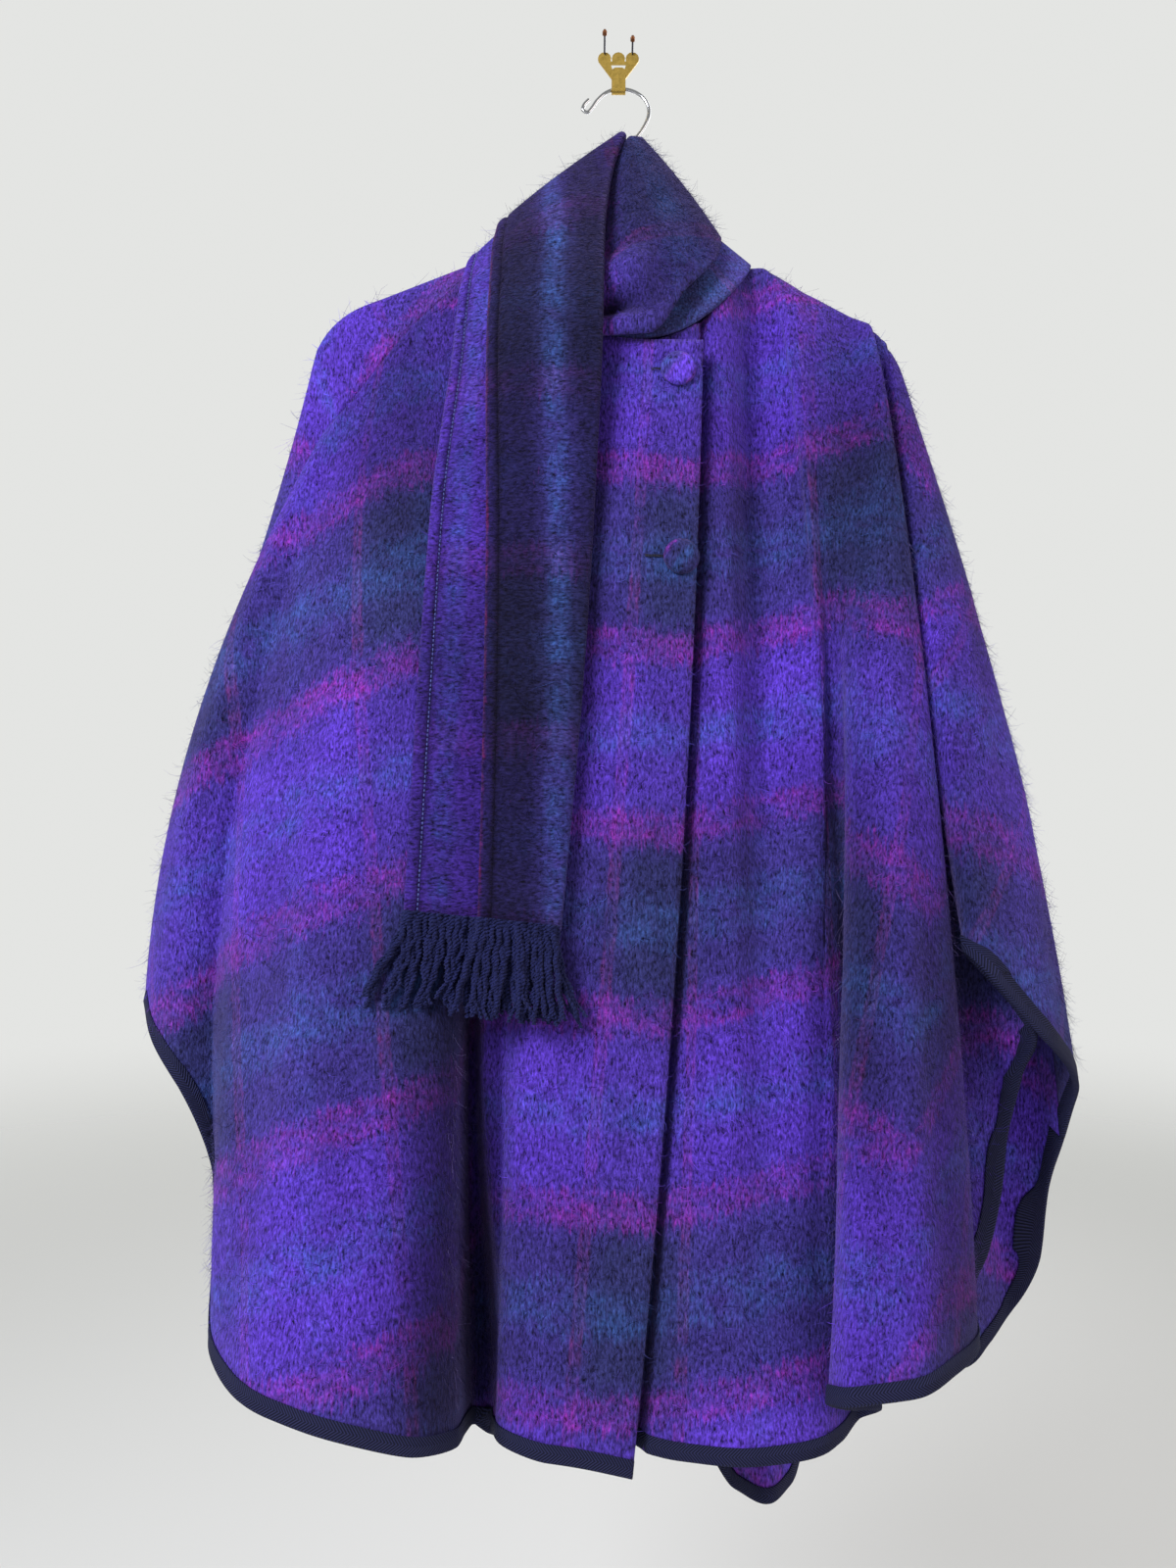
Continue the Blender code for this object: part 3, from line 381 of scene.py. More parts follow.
# The hanger's hook, from its turned tip to the arms, in the plane that the hanger hangs in
WIRE_ROUTE = [
    (-23.4, -31.6), (-27.0, -35.6), (-28.2, -40.0), (-24.6, -42.2), (-21.0, -38.6), (-17.0, -32.4),
    (-10.8, -26.4), (-3.6, -23.3), (3.6, -22.9), (11.4, -24.6), (18.4, -29.1), (22.8, -35.7),
    (23.8, -43.4), (21.5, -51.2), (17.6, -58.2), (12.0, -66.0), (6.6, -73.6), (2.0, -82.4),
    (-1.6, -93.0), (-3.4, -108.0), (-4.0, -126.3),
]

# Puffs (and the creases between them) of the scarf at the throat: where along the stretch and
# how far, how high on it and how tall, how deep, and the painted light on a puff, negative for the
# painted shade in a crease
Puff = namedtuple("Puff", "at reach up tall deep light")

CROSS_PUFFS = [
    Puff(6.5, 0.7, 0.3, 0.1, 9.0, 1.3),
    Puff(6.8, 0.5, 0.15, 0.04, -9.0, -0.95),
    Puff(6.3, 0.9, 0.05, 0.045, 5.0, 1.0),
    Puff(6.6, 0.7, 0.43, 0.035, -2.2, 0.0),
    Puff(4.6, 0.8, 0.5, 0.12, -3.0, 0.0),
]
TAIL_WEFT = 40.0       # place on the weft of the hanging end's top
SEAM_IN = 9.0          # the sewn groove, in from the hanging end's open edge
SEAM_DEEP = 1.1
STITCH_LONG = 2.4
STITCH_GAP = 0.9
STITCH_THICK = 0.5
FOLD_STEPS = 5         # points round the scarf's fold, between its layers
STRAND_STEPS = 48
YARN_PITCH = 5.2       # one turn of the two plies
YARN_PLY = 1.15
PLY_SIDES = 5
CLUMP = 5              # strands that hang together
THREAD_SIDES = 6
PIN_HEAD = 4.6         # height of a slanted pin's head
CAMERA = (-0.0241, -1.07, -0.571)
# Strength of the surrounding light before and behind the cape
SKY = (0.4, 0.95)
LAMPS = [
    ("window", (-1.45, -1.75, 0.6), 1.1, 73, "F4F6FF"),
    ("fill", (1.8, -0.9, -0.2), 1.6, 13, "FFF3EE"),
    ("behind", (0.6, 1.6, 0.4), 1.6, 22, "F6F6FF"),
]


def linear(code):
    """Linear colour, with alpha, from an sRGB hex code."""
    parts = [int(code[k:k + 2], 16) / 255 for k in (0, 2, 4)]
    return tuple(p / 12.92 if p <= 0.04045 else ((p + 0.055) / 1.055) ** 2.4 for p in parts) + (1.0,)


def colour(name, description, code):
    return bpy.props.FloatVectorProperty(
        name=name, description=description, subtype="COLOR", size=4, min=0, max=1, default=linear(code))


def length(name, description, size):
    return bpy.props.FloatProperty(
        name=name, description=description, subtype="DISTANCE", unit="LENGTH", min=0, default=size * MM)


class ClothLooks(bpy.types.PropertyGroup):
    """The plaid mohair cloth of the cape and the scarf."""

    violet: colour("Violet", "Wide stripes of violet yarn", "5033A8")
    navy: colour("Navy", "Wide stripes of navy yarn", "2D2E60")
    blue: colour("Blue", "Narrow stripe in the middle of a violet one", "3A55AC")
    teal: colour("Teal", "Narrow stripe in the middle of a navy one", "345A9C")
    magenta: colour("Magenta", "Fine stripes of the weft, where violet and navy meet", "8C2AA0")
    cerise: colour("Cerise", "Fine stripes of the warp, where violet and navy meet", "B02470")
    warp_repeat: length("Warp repeat", "One violet and one navy stripe across the cloth", 218)
    weft_repeat: length("Weft repeat", "One violet and one navy stripe down the cloth", 260)
    nap_count: bpy.props.IntProperty(
        name="Nap", description="Number of brushed fibres on each panel", min=0, default=25000)


def mottle(tree, place, sizes, low, high, detail=2.0):
    """Uneven spots of the given sizes in metres, mostly between the low and the high value."""
    steps = tuple(1 / size for size in sizes)
    spots = add_node(tree, "VectorMath", {0: place, 1: steps}, operation="MULTIPLY")
    noise = add_node(tree, "TexNoise", {"Vector": spots.outputs[0], "Scale": 1.0, "Detail": detail,
                                        "Roughness": 0.6})
    level = add_node(tree, "MapRange", {"Value": noise.outputs["Fac"], "From Min": 0.35, "From Max": 0.65,
                                        "To Min": low, "To Max": high}, clamp=False)
    return level.outputs[0]


def stripes(tree, place, repeat, rows):
    """Stripes that repeat along a place on the cloth; each row gives a share of the repeat, a colour
    and how well it covers."""
    turns = reckon(tree, "DIVIDE", place, repeat)
    ramp = add_node(tree, "ValToRGB", {0: reckon(tree, "FRACT", turns)})
    stops = ramp.color_ramp.elements
    stops.remove(stops[1])
    for k, (where, hue, cover) in enumerate(rows):
        stop = stops.new(where) if k else stops[0]
        stop.color = (*hue[:3], cover)
    return ramp.outputs


def wide_stripes(looks, blur):
    """Violet and navy by turns, which run into each other."""
    between = [(a + b) / 2 for a, b in zip(looks.violet, looks.navy)]
    return [(0.0, between, 1), (blur, looks.violet, 1), (0.5 - blur, looks.violet, 1),
            (0.5 + blur, looks.navy, 1), (1 - blur, looks.navy, 1), (1.0, between, 1)]


def fine_stripes(looks, hue, sett):
    """Pairs of fine stripes where violet and navy meet, and a blue or teal band midway."""
    end = sett.apart + sett.wide
    pair = [(-end, 0), (-sett.apart, 1), (0, 0.35), (sett.apart, 1), (end, 0)]
    lone = [(-sett.band, 0), (-sett.band / 3, 0.7), (sett.band / 3, 0.7), (sett.band, 0)]
    rows = []
    for middle, shade, shape in ((0.0, hue, pair[2:]), (0.25, looks.blue, lone), (0.5, hue, pair),
                                 (0.75, looks.teal, lone), (1.0, hue, pair[:3])):
        rows += [(middle + off, shade, cover) for off, cover in shape]
    return rows


class TrimLooks(bpy.types.PropertyGroup):
    """Braid, fringe and sewing."""

    braid: colour("Braid", "Woven braid on the hems", "1F2140")
    yarn: colour("Yarn", "Twisted yarn of the fringe", "1B1F4A")
    thread: colour("Thread", "Sewing thread of the scarf's edge", "4C54A0")
    hole: colour("Buttonhole", "Twist that edges the buttonholes", "14142E")
    braid_tall: length("Braid", "Height of the braid on each side of a hem", 11)
    braid_rib: length("Braid rib", "Distance between the ribs of the braid", 2.2)
    strands: bpy.props.IntProperty(
        name="Strands", description="Strands of the fringe", min=8, default=160)
    fringe: length("Fringe", "Length of the fringe", 66)


class HardwareLooks(bpy.types.PropertyGroup):
    """Hanger and wall hook."""

    brass: colour("Brass", "Pressed brass of the wall hook", "D9B65C")
    pin: colour("Pins", "Blued steel of the pins", "4A4B55")
    head: colour("Pin heads", "Coppered heads of the pins", "8A5A3C")
    chrome: colour("Chrome", "Chromed wire of the hanger hook", "C9CACC")
    wood: colour("Wood", "Waxed beech of the hanger", "A97C50")


class StageLooks(bpy.types.PropertyGroup):
    """Floor, light and camera."""

    floor: colour("Floor", "Plain pale floor", "D2D2CE")
    below: length("Floor below", "Distance from the hem to the floor", 420)


def monotone(knots, values, places, paired=False):
    """Cubic curve through values at knots that never overshoots, read at places; paired reads
    one place for each column of values."""
    step = np.diff(knots)
    rise = np.diff(values, axis=0) / step.reshape(-1, *[1] * (values.ndim - 1))
    slope = np.zeros_like(values)
    before, after = rise[:-1], rise[1:]
    same = before * after > 0
    safe = np.where(same, before + after, 1.0)
    slope[1:-1] = np.where(same, 2 * before * after / safe, 0.0)
    slope[0], slope[-1] = rise[0], rise[-1]
    cell = np.clip(np.searchsorted(knots, places, side="right") - 1, 0, len(step) - 1)
    size = step[cell][:, None]
    t = (places - knots[cell])[:, None] / size
    columns = (np.arange(len(places)),) if paired else ()
    start, end = values[(cell, *columns)], values[(cell + 1, *columns)]
    bend = slope[(cell, *columns)] * size * t * (1 - t) ** 2
    bend -= slope[(cell + 1, *columns)] * size * t * t * (1 - t)
    return start + (end - start) * t * t * (3 - 2 * t) + bend


def along(rows, places):
    """Read the number columns of a table between its rows."""
    values = np.array([row[1:] for row in rows], dtype=float)
    return monotone(np.arange(len(rows), dtype=float), values, places)


def along_line(stretches, places):
    """Read the station rows of joined stretches, each smooth by itself."""
    read = np.zeros((len(places), len(stretches[0][0]) - 1))
    start = 0.0
    for rows in stretches:
        end = start + len(rows) - 1
        inside = (places >= start) & (places <= end)
        read[inside] = along(rows, places[inside] - start)
        start = end
    return read


def flowing(values, places, closed=False):
    """Smooth curve through rows of values, round again to the first row where it is closed."""
    values = np.asarray(values, dtype=float)
    if not closed:
        values = np.concatenate([2 * values[:1] - values[1:2], values, 2 * values[-1:] - values[-2:-1]])
        places = np.minimum(places + 1.0, len(values) - 2 - 1e-9)
    cell = places.astype(int)
    t = (places - cell)[:, None]
    before, start, end, after = (values[(cell + k) % len(values)] for k in (-1, 0, 1, 2))
    bend = (end - before) / 2 * t * (1 - t) ** 2 - (after - start) / 2 * t * t * (1 - t)
    return start + (end - start) * t * t * (3 - 2 * t) + bend


def unit(vectors):
    return vectors / np.maximum(np.linalg.norm(vectors, axis=-1, keepdims=True), 1e-9)


def normals(grid):
    """Surface directions of a grid of points, by rows down and columns across."""
    return unit(np.cross(np.gradient(grid, axis=1), np.gradient(grid, axis=0)))


def lean_y(z):
    """The plane that the hanger hangs in."""
    return HOOK_Y - LEAN * (HOOK_Z - z)


def relief(creases, lapped, points):
    """Height of the creases above the plain drape; the cloth sinks along an edge that laps over it."""
    rise = np.zeros(len(points))
    for crease in creases:
        run = np.clip((crease.top - points[:, 2]) / (crease.top - crease.bottom), 0, 1)
        off = points[:, 0] - crease.x - crease.lean * run
        rise += crease.deep * np.exp(-(off / crease.wide) ** 2) * np.sin(pi * run) ** 0.8
    if lapped is not None:
        off = points[:, 0] - np.interp(-points[:, 2], -lapped[:, 2], lapped[:, 0])
        rise -= GAP_DEEP * np.exp(-((off - GAP_WIDE / 2) / GAP_WIDE) ** 2)
    return rise


class Cut:
    """A cut panel that hangs from its top edge in folds, before (-1) or behind (1) the hanger."""

    def __init__(self, folds, top, side, wraps, outward, creases, grain, painted_shades=(), lapped=None):
        self.folds = folds
        self.top = top
        self.side = side
        self.wraps = wraps
        self.outward = outward
        self.creases = creases
        self.lapped = lapped
        self.last = len(folds) - 1
        columns = np.linspace(0, self.last, self.last * FINE + 1)
        if lapped is not None:
            columns = np.unique(np.round(np.concatenate([columns, LAPPED_COLUMNS]), 4))
        self.columns = columns
        across, down = np.meshgrid(columns, DOWN)
        points, out = self.surface(across.ravel(), down.ravel())
        self.grid = points.reshape(*across.shape, 3)
        self.out = out.reshape(*across.shape, 3)
        self.weave = self.lay_flat(grain, painted_shades)

    def plain(self, across, down):
        """Points of the cloth's middle at pairs of places, across in folds and down from 0 to 1."""
        fold = along(self.folds, across)
        top = along_line(self.top, fold[:, 0])
        seam, crown = top[:, 0:3], top[:, 3:6]
        wrap = top[:, 6:7] * self.wraps
        hem = fold[:, 1:4]
        over = seam + KNOTS[1] * (hem - seam)
        past = seam + KNOTS[2] * (hem - seam)
        clear = crown - (0.0, 0.0, FALL)
        clear[:, 1] = lean_y(crown[:, 2]) + self.side * SHOULDER_CLEAR
        over = over + wrap * (crown - over)
        past = past + wrap * (clear - past)
        points = monotone(KNOTS, np.stack([seam, over, past, hem]), down, paired=True)
        swell = 4 * down * (1 - down)
        points[:, 0] += swell * fold[:, 4]
        points[:, 1] += swell * fold[:, 5]
        points[:, 1] += self.side * top[:, 7] * (1 - down) ** 2
        return points

    def tangents(self, across, down):
        """How the cloth runs on, for one fold across and for its whole length down."""
        a = np.clip(across, NUDGE, self.last - NUDGE)
        d = np.clip(down, NUDGE, 1 - NUDGE)
        run = (self.plain(a + NUDGE, d) - self.plain(a - NUDGE, d)) / (2 * NUDGE)
        drop = (self.plain(a, d + NUDGE) - self.plain(a, d - NUDGE)) / (2 * NUDGE)
        return run, drop

    def surface(self, across, down):
        """Points of the creased cloth's middle, and its outward directions."""
        out = unit(np.cross(*self.tangents(across, down))) * self.outward
        points = self.plain(across, down)
        return points + out * relief(self.creases, self.lapped, points)[:, None], out

    def lay_flat(self, grain, painted_shades):
        """Warp and weft places of the grid in the flat cut, where its columns open like a fan, and a
        tone of painted shade and light: darker in crease troughs, along the lapped edge and at the
        painted shaded places, lighter on crease ridges."""
        upper, hem = self.grid[HANG_ROW], self.grid[-1]
        long = np.linalg.norm(hem - upper, axis=1)
        way = unit(hem - upper)
        way = unit(way[1:] + way[:-1])
        wide, slide = [], []
        for line in (upper, hem):
            step = np.diff(line, axis=0)
            slide.append((step * way).sum(axis=1))
            wide.append(np.sqrt(np.maximum((step * step).sum(axis=1) - slide[-1] ** 2, 0)))
        turn = (wide[1] - wide[0]) / ((long[1:] + long[:-1]) / 2)
        start = np.argmin(np.abs(self.columns - grain.across))
        angle = np.concatenate([[0], np.cumsum(turn)])
        angle -= angle[start]
        half = (angle[1:] + angle[:-1]) / 2
        warp = np.concatenate([[0], np.cumsum(wide[0] * np.cos(half) + slide[0] * np.sin(half))])
        weft = np.concatenate([[0], np.cumsum(slide[0] * np.cos(half) - wide[0] * np.sin(half))])
        fall = np.linalg.norm(np.diff(self.grid, axis=0), axis=2)
        fall = np.concatenate([np.zeros((1, fall.shape[1])), np.cumsum(fall, axis=0)])
        fall -= fall[HANG_ROW]
        warp = warp - warp[start] + fall * np.sin(angle)
        weft = weft - weft[start] + fall * np.cos(angle)
        weft = weft + grain.slant * warp
        weft -= np.interp(-grain.level, -self.grid[:, start, 2], weft[:, start])
        warp = warp + grain.warp
        far = np.abs(warp) - grain.far
        bias = np.clip(1 + far / (grain.far - grain.near), 0, 1)
        bias = bias * bias * (3 - 2 * bias)
        weft = weft - bias * grain.sparse * (weft - grain.top)
        weft = weft - np.interp(np.abs(warp), *zip(*grain.falls))
        points = self.grid.reshape(-1, 3)
        # painted shade in the crease troughs and along the lapped edge, painted light on the ridges
        tone = 1 + CREASE_PAINTED_SHADE * relief(self.creases, self.lapped, points).reshape(warp.shape)
        tone = np.clip(tone, 0.3, 1.1)
        # painted shade: each listed place darkens the tone where a fold falls in shadow
        for shade in painted_shades:
            x, z = self.grid[:, :, 0] - shade.x, self.grid[:, :, 2] - shade.z
            tone *= 1 - shade.dark * np.exp(-(x / shade.wide) ** 2 - (z / shade.tall) ** 2)
        return np.stack([warp, weft, tone], axis=2)

    def flat_size(self):
        """Width, length and area of the cut, in metres."""
        spread = np.ptp(self.weave[:, :, :2].reshape(-1, 2), axis=0) * MM
        return (float(spread[0]), float(spread[1])), grid_area(self.grid)


def cell_areas(grid):
    """Areas between the points of a grid, in square millimetres."""
    across, down = np.diff(grid, axis=1)[:-1], np.diff(grid, axis=0)[:, :-1]
    return np.linalg.norm(np.cross(across, down), axis=2)


def grid_area(grid):
    """Area of a grid of points in square metres."""
    return float(cell_areas(grid).sum() * MM * MM)


BEHIND = [row._replace(wrap=0) for row in reversed(SHOULDER_LEFT)]
CUTS = {
    "back": Cut(
        BACK, [BEHIND, BEHIND[-1:] + NECK_BACK + SHOULDER_RIGHT[:1], SHOULDER_RIGHT], 1, True, -1,
        BACK_CREASES, Grain(13, 0, -430, 0, 120, 240, 0.1, -100, [(240, 0), (740, 100)])),
    "front_right": Cut(
        FRONT_RIGHT, [NECK_RIGHT + SHOULDER_RIGHT[:1], SHOULDER_RIGHT], -1, False, 1, FRONT_RIGHT_CREASES,
        Grain(0, -45, -476, 0, 40, 180, 0.13, -100, [(180, 0), (680, 110)]), FRONT_RIGHT_PAINTED_SHADES),
}
CUTS["front_left"] = Cut(
    FRONT_LEFT, [NECK_LEFT + SHOULDER_LEFT[:1], SHOULDER_LEFT], -1, True, -1, FRONT_LEFT_CREASES,
    Grain(2.5, 68, -460, 0.26, 114, 199, 0.25, -62, [(199, 0), (259, 27), (309, -36)]),
    FRONT_LEFT_PAINTED_SHADES, CUTS["front_right"].grid[:, 0])


def add_node(tree, kind, inputs=None, **settings):
    """Add a node, give it its settings, and set or link its inputs."""
    node = tree.nodes.new("ShaderNode" + kind)
    for name, value in settings.items():
        setattr(node, name, value)
    for name, value in (inputs or {}).items():
        if isinstance(value, bpy.types.NodeSocket):
            tree.links.new(value, node.inputs[name])
        else:
            node.inputs[name].default_value = value
    return node


def reckon(tree, operation, *values, **settings):
    """Add a sum on values or sockets, and return its result."""
    return add_node(tree, "Math", dict(enumerate(values)), operation=operation, **settings).outputs[0]


def blend(tree, share, one, other):
    """Add a mix of two colours, and return it."""
    return add_node(tree, "Mix", {0: share, 6: one, 7: other}, data_type="RGBA").outputs[2]


def tint(tree, shader, base, level):
    """Give a shader a colour that is lighter or darker by a level."""
    final = add_node(tree, "VectorMath", {0: base, "Scale": level}, operation="SCALE")
    tree.links.new(final.outputs[0], shader.inputs["Base Color"])


def new_finish(name, **values):
    """A material with its shader's plain values; returns it with its tree and shader."""
    finish = bpy.data.materials.new(name)
    finish.use_nodes = True
    shader = finish.node_tree.nodes["Principled BSDF"]
    for socket, value in values.items():
        shader.inputs[socket.replace("_", " ")].default_value = value
    return finish, finish.node_tree, shader


def brushed_mohair(looks, name, kind):
    """Brushed mohair plaid: fluffy and matt, with a pale sheen at grazing angles. The brushed fibres
    drag the stripes into each other, hide the fine ones here and there, and lie in clumps with dark
    gaps between. A loose fibre, which isn't bumpy, has one shade all along."""
    finish, tree, shader = new_finish(name, Roughness=0.95, Specular_IOR_Level=0.1, Sheen_Weight=0.25,
                                      Sheen_Roughness=0.5, Sheen_Tint=(0.5, 0.38, 0.95, 1.0))
    weave = add_node(tree, "Attribute", attribute_name="weave").outputs["Vector"]
    place = add_node(tree, "SeparateXYZ", {0: weave}).outputs
    spot = add_node(tree, "TexCoord").outputs["Object"] if kind.bumpy else weave
    drag = mottle(tree, spot, (0.0025, 0.0025, 0.025), -1.0, 1.0, detail=3.0)
    patch = mottle(tree, spot, (0.03, 0.03, 0.016), 0.1, 0.9)
    thread = mottle(tree, spot, (0.0018, 0.0018, 0.012), 0.4, 1.1)
    shown = reckon(tree, "MULTIPLY", patch, thread, use_clamp=True)
    grounds, fines = [], []
    for axis, repeat, hue, sett in (("X", looks.warp_repeat, looks.cerise, WARP_SETT),
                                    ("Y", looks.weft_repeat, looks.magenta, WEFT_SETT)):
        pulled = reckon(tree, "MULTIPLY_ADD", drag, sett.drag, place[axis])
        grounds.append(stripes(tree, pulled, repeat, wide_stripes(looks, sett.blur)))
        fines.append(stripes(tree, pulled, repeat, fine_stripes(looks, hue, sett)))
    hue = blend(tree, kind.weft_share, grounds[0]["Color"], grounds[1]["Color"])
    for fine, strength in zip(fines, (kind.warp_lines, kind.weft_lines)):
        cover = reckon(tree, "MULTIPLY", fine["Alpha"], shown)
        hue = blend(tree, reckon(tree, "MULTIPLY", cover, strength), hue, fine["Color"])
    sizes = (kind.wide * MM, kind.wide * MM, kind.tall * MM)
    clump = mottle(tree, spot, sizes, 0.3 * kind.bright, 1.75 * kind.bright, detail=3.0)
    area = mottle(tree, spot, (0.05, 0.05, 0.09), 0.88, 1.12)
    shade = reckon(tree, "MULTIPLY", clump, area)
    # the weave's third value is a tone, which carries the painted shade and painted light of creases,
    # folds, puffs, grooves, the collar and button rims
    tint(tree, shader, hue, reckon(tree, "MULTIPLY", shade, place["Z"]))
    if kind.bumpy:
        bump = add_node(tree, "Bump", {"Height": clump, "Strength": 0.5, "Distance": 0.0012})
        tree.links.new(bump.outputs[0], shader.inputs["Normal"])
    return finish


def woven_braid(looks):
    """Flat woven braid: a dull navy band, ribbed in chevrons that meet along its middle."""
    finish, tree, shader = new_finish("woven braid", Roughness=0.85, Specular_IOR_Level=0.2)
    weave = add_node(tree, "Attribute", attribute_name="weave").outputs["Vector"]
    place = add_node(tree, "SeparateXYZ", {0: weave}).outputs
    over = reckon(tree, "PINGPONG", place["Y"], looks.braid_tall / 2)
    slant = reckon(tree, "ADD", place["X"], over)
    rib = reckon(tree, "SINE", reckon(tree, "MULTIPLY", slant, 2 * pi / looks.braid_rib))
    shade = add_node(tree, "MapRange", {"Value": rib, "From Min": -1.0, "To Min": 0.3, "To Max": 1.9})
    tint(tree, shader, looks.braid[:3], shade.outputs[0])
    bump = add_node(tree, "Bump", {"Height": rib, "Strength": 0.7, "Distance": 0.0008})
    tree.links.new(bump.outputs[0], shader.inputs["Normal"])
    return finish


def twisted_yarn(looks):
    """Soft two-ply wool yarn: matt navy, a little paler where its fibres stand up."""
    finish, tree, shader = new_finish("twisted yarn", Roughness=0.9, Specular_IOR_Level=0.15,
                                      Sheen_Weight=0.2, Sheen_Roughness=0.5,
                                      Sheen_Tint=(0.4, 0.4, 0.8, 1.0))
    place = add_node(tree, "TexCoord").outputs["Object"]
    tint(tree, shader, looks.yarn[:3], mottle(tree, place, (0.0012, 0.0012, 0.0012), 0.55, 1.4))
    return finish


def sewing_thread(name, hue):
    """Spun polyester thread: fine, smooth and slightly glossy."""
    finish, tree, shader = new_finish(name, Roughness=0.55)
    place = add_node(tree, "TexCoord").outputs["Object"]
    tint(tree, shader, hue[:3], mottle(tree, place, (0.001, 0.001, 0.001), 0.7, 1.1))
    return finish


def metal(name, base, roughness, tarnish):
    """Bright metal whose polish is broken by fine scratches and dull spots."""
    finish, tree, shader = new_finish(name, Metallic=1.0)
    place = add_node(tree, "TexCoord").outputs["Object"]
    dull = mottle(tree, place, (0.003, 0.003, 0.003), roughness, roughness + 0.15, detail=5.0)
    tree.links.new(dull, shader.inputs["Roughness"])
    shade = mottle(tree, place, (0.003, 0.003, 0.003), 1.0, 1.0 - tarnish, detail=5.0)
    tint(tree, shader, base[:3], shade)
    return finish


def waxed_beech(looks):
    """Waxed beech: pale brown, with fine darker flecks along the arm and a soft gloss."""
    finish, tree, shader = new_finish("waxed beech", Roughness=0.45)
    place = add_node(tree, "TexCoord").outputs["Object"]
    grain = mottle(tree, place, (0.03, 0.0015, 0.0015), 0.7, 1.1, detail=4.0)
    tint(tree, shader, looks.wood[:3], grain)
    return finish


def plaid(looks, name):
    """A finish of the mohair, made once."""
    return bpy.data.materials.get(name) or brushed_mohair(looks, name, MOHAIR[name])


def quads(rows, columns, closed=False):
    """Faces of a grid of points; closed joins its last column to its first."""
    last = columns if closed else columns - 1
    row, here = np.meshgrid(np.arange(rows - 1), np.arange(last), indexing="ij")
    row = row * columns
    after = (here + 1) % columns
    faces = [row + here, row + after, row + columns + after, row + columns + here]
    return np.stack(faces, axis=2).reshape(-1, 4)


def tube(rows, sides, start):
    """Faces of a tube of points, numbered from start, with both its ends."""
    faces = (quads(rows, sides, closed=True) + start).tolist()
    last = start + sides * (rows - 1)
    return faces + [list(range(start, start + sides))[::-1], list(range(last, last + sides))]


def add_mesh(name, points, faces, finish, weave=None):
    """A smooth mesh object from points in millimetres, with its places on the cloth."""
    mesh = bpy.data.meshes.new(name)
    mesh.from_pydata((np.asarray(points).reshape(-1, 3) * MM).tolist(), [], list(faces))
    if weave is not None:
        places = mesh.attributes.new("weave", "FLOAT_VECTOR", "POINT")
        scale = np.array([MM, MM, 1.0])
        places.data.foreach_set("vector", (np.asarray(weave).reshape(-1, 3) * scale).ravel())
    mesh.shade_smooth()
    mesh.materials.append(finish)
    piece = bpy.data.objects.new(name, mesh)
    bpy.context.scene.collection.objects.link(piece)
    return piece


def only(piece):
    """Select one object alone and make it active."""
    bpy.ops.object.select_all(action="DESELECT")
    piece.select_set(True)
    bpy.context.view_layer.objects.active = piece


def thicken(piece, thick):
    """Give a cloth its thickness, half on each side."""
    only(piece)
    bpy.ops.object.modifier_add(type="SOLIDIFY")
    wall = piece.modifiers[-1]
    wall.thickness = thick * MM
    wall.offset = 0.0
    bpy.ops.object.modifier_apply(modifier=wall.name)


def settle(piece, slot, *nodes):
    """Tie a finished piece to the frame."""
    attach(piece, "root")
    if nodes:
        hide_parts(*nodes)


def hang_cloth(node, grid, finish, weave, thick=CLOTH, closed=False):
    """A cloth of some thickness on a grid of points, in place of its solid."""
    faces = quads(*grid.shape[:2], closed=closed).tolist()
    piece = add_mesh("cloth_" + node, grid, faces, finish, weave)
    thicken(piece, thick)
    settle(piece, "mohair", node)
    return piece


def dress_panels(looks):
    """The back and the two fronts."""
    for name, cut in CUTS.items():
        hang_cloth(name, cut.grid, plaid(looks, "brushed mohair"), cut.weave)


def turn_outwards(piece):
    """Turn the faces of a closed piece outwards."""
    only(piece)
    bpy.ops.object.mode_set(mode="EDIT")
    bpy.ops.mesh.select_all(action="SELECT")
    bpy.ops.mesh.normals_make_consistent(inside=False)
    bpy.ops.object.mode_set(mode="OBJECT")


def loft(name, rings, finish, weave=None):
    """A closed piece from rings of points, with flat ends."""
    count, corners = rings.shape[:2]
    faces = quads(count, corners, closed=True).tolist()
    faces += [list(range(corners)), list(range(corners * (count - 1), corners * count))]
    piece = add_mesh(name, rings, faces, finish, weave)
    turn_outwards(piece)
    return piece


def square_to_hem(cut, across):
    """Steps in places across and down that lead a millimetre into the cloth, square to its hem,
    with that direction itself."""
    low = np.ones_like(across)
    hem, out = cut.surface(across, low)
    run, drop = cut.tangents(across, low)
    inward = unit(np.cross(out, np.gradient(hem, axis=0)))
    inward *= -np.sign((inward * drop).sum(axis=1, keepdims=True))
    rr, rd, dd = ((a * b).sum(axis=1) for a, b in ((run, run), (run, drop), (drop, drop)))
    ir, idr = (inward * run).sum(axis=1), (inward * drop).sum(axis=1)
    spread = rr * dd - rd * rd
    return (ir * dd - idr * rd) / spread, (idr * rr - ir * rd) / spread, inward


def travel(line):
    """Distance travelled along a line of points."""
    return np.concatenate([[0], np.cumsum(np.linalg.norm(np.diff(line, axis=0), axis=1))])


def read_line(line, run, places):
    """Rows of a line of points, or of directions, at distances travelled along it."""
    return np.stack([np.interp(places, run, line[:, k]) for k in range(3)], axis=-1)


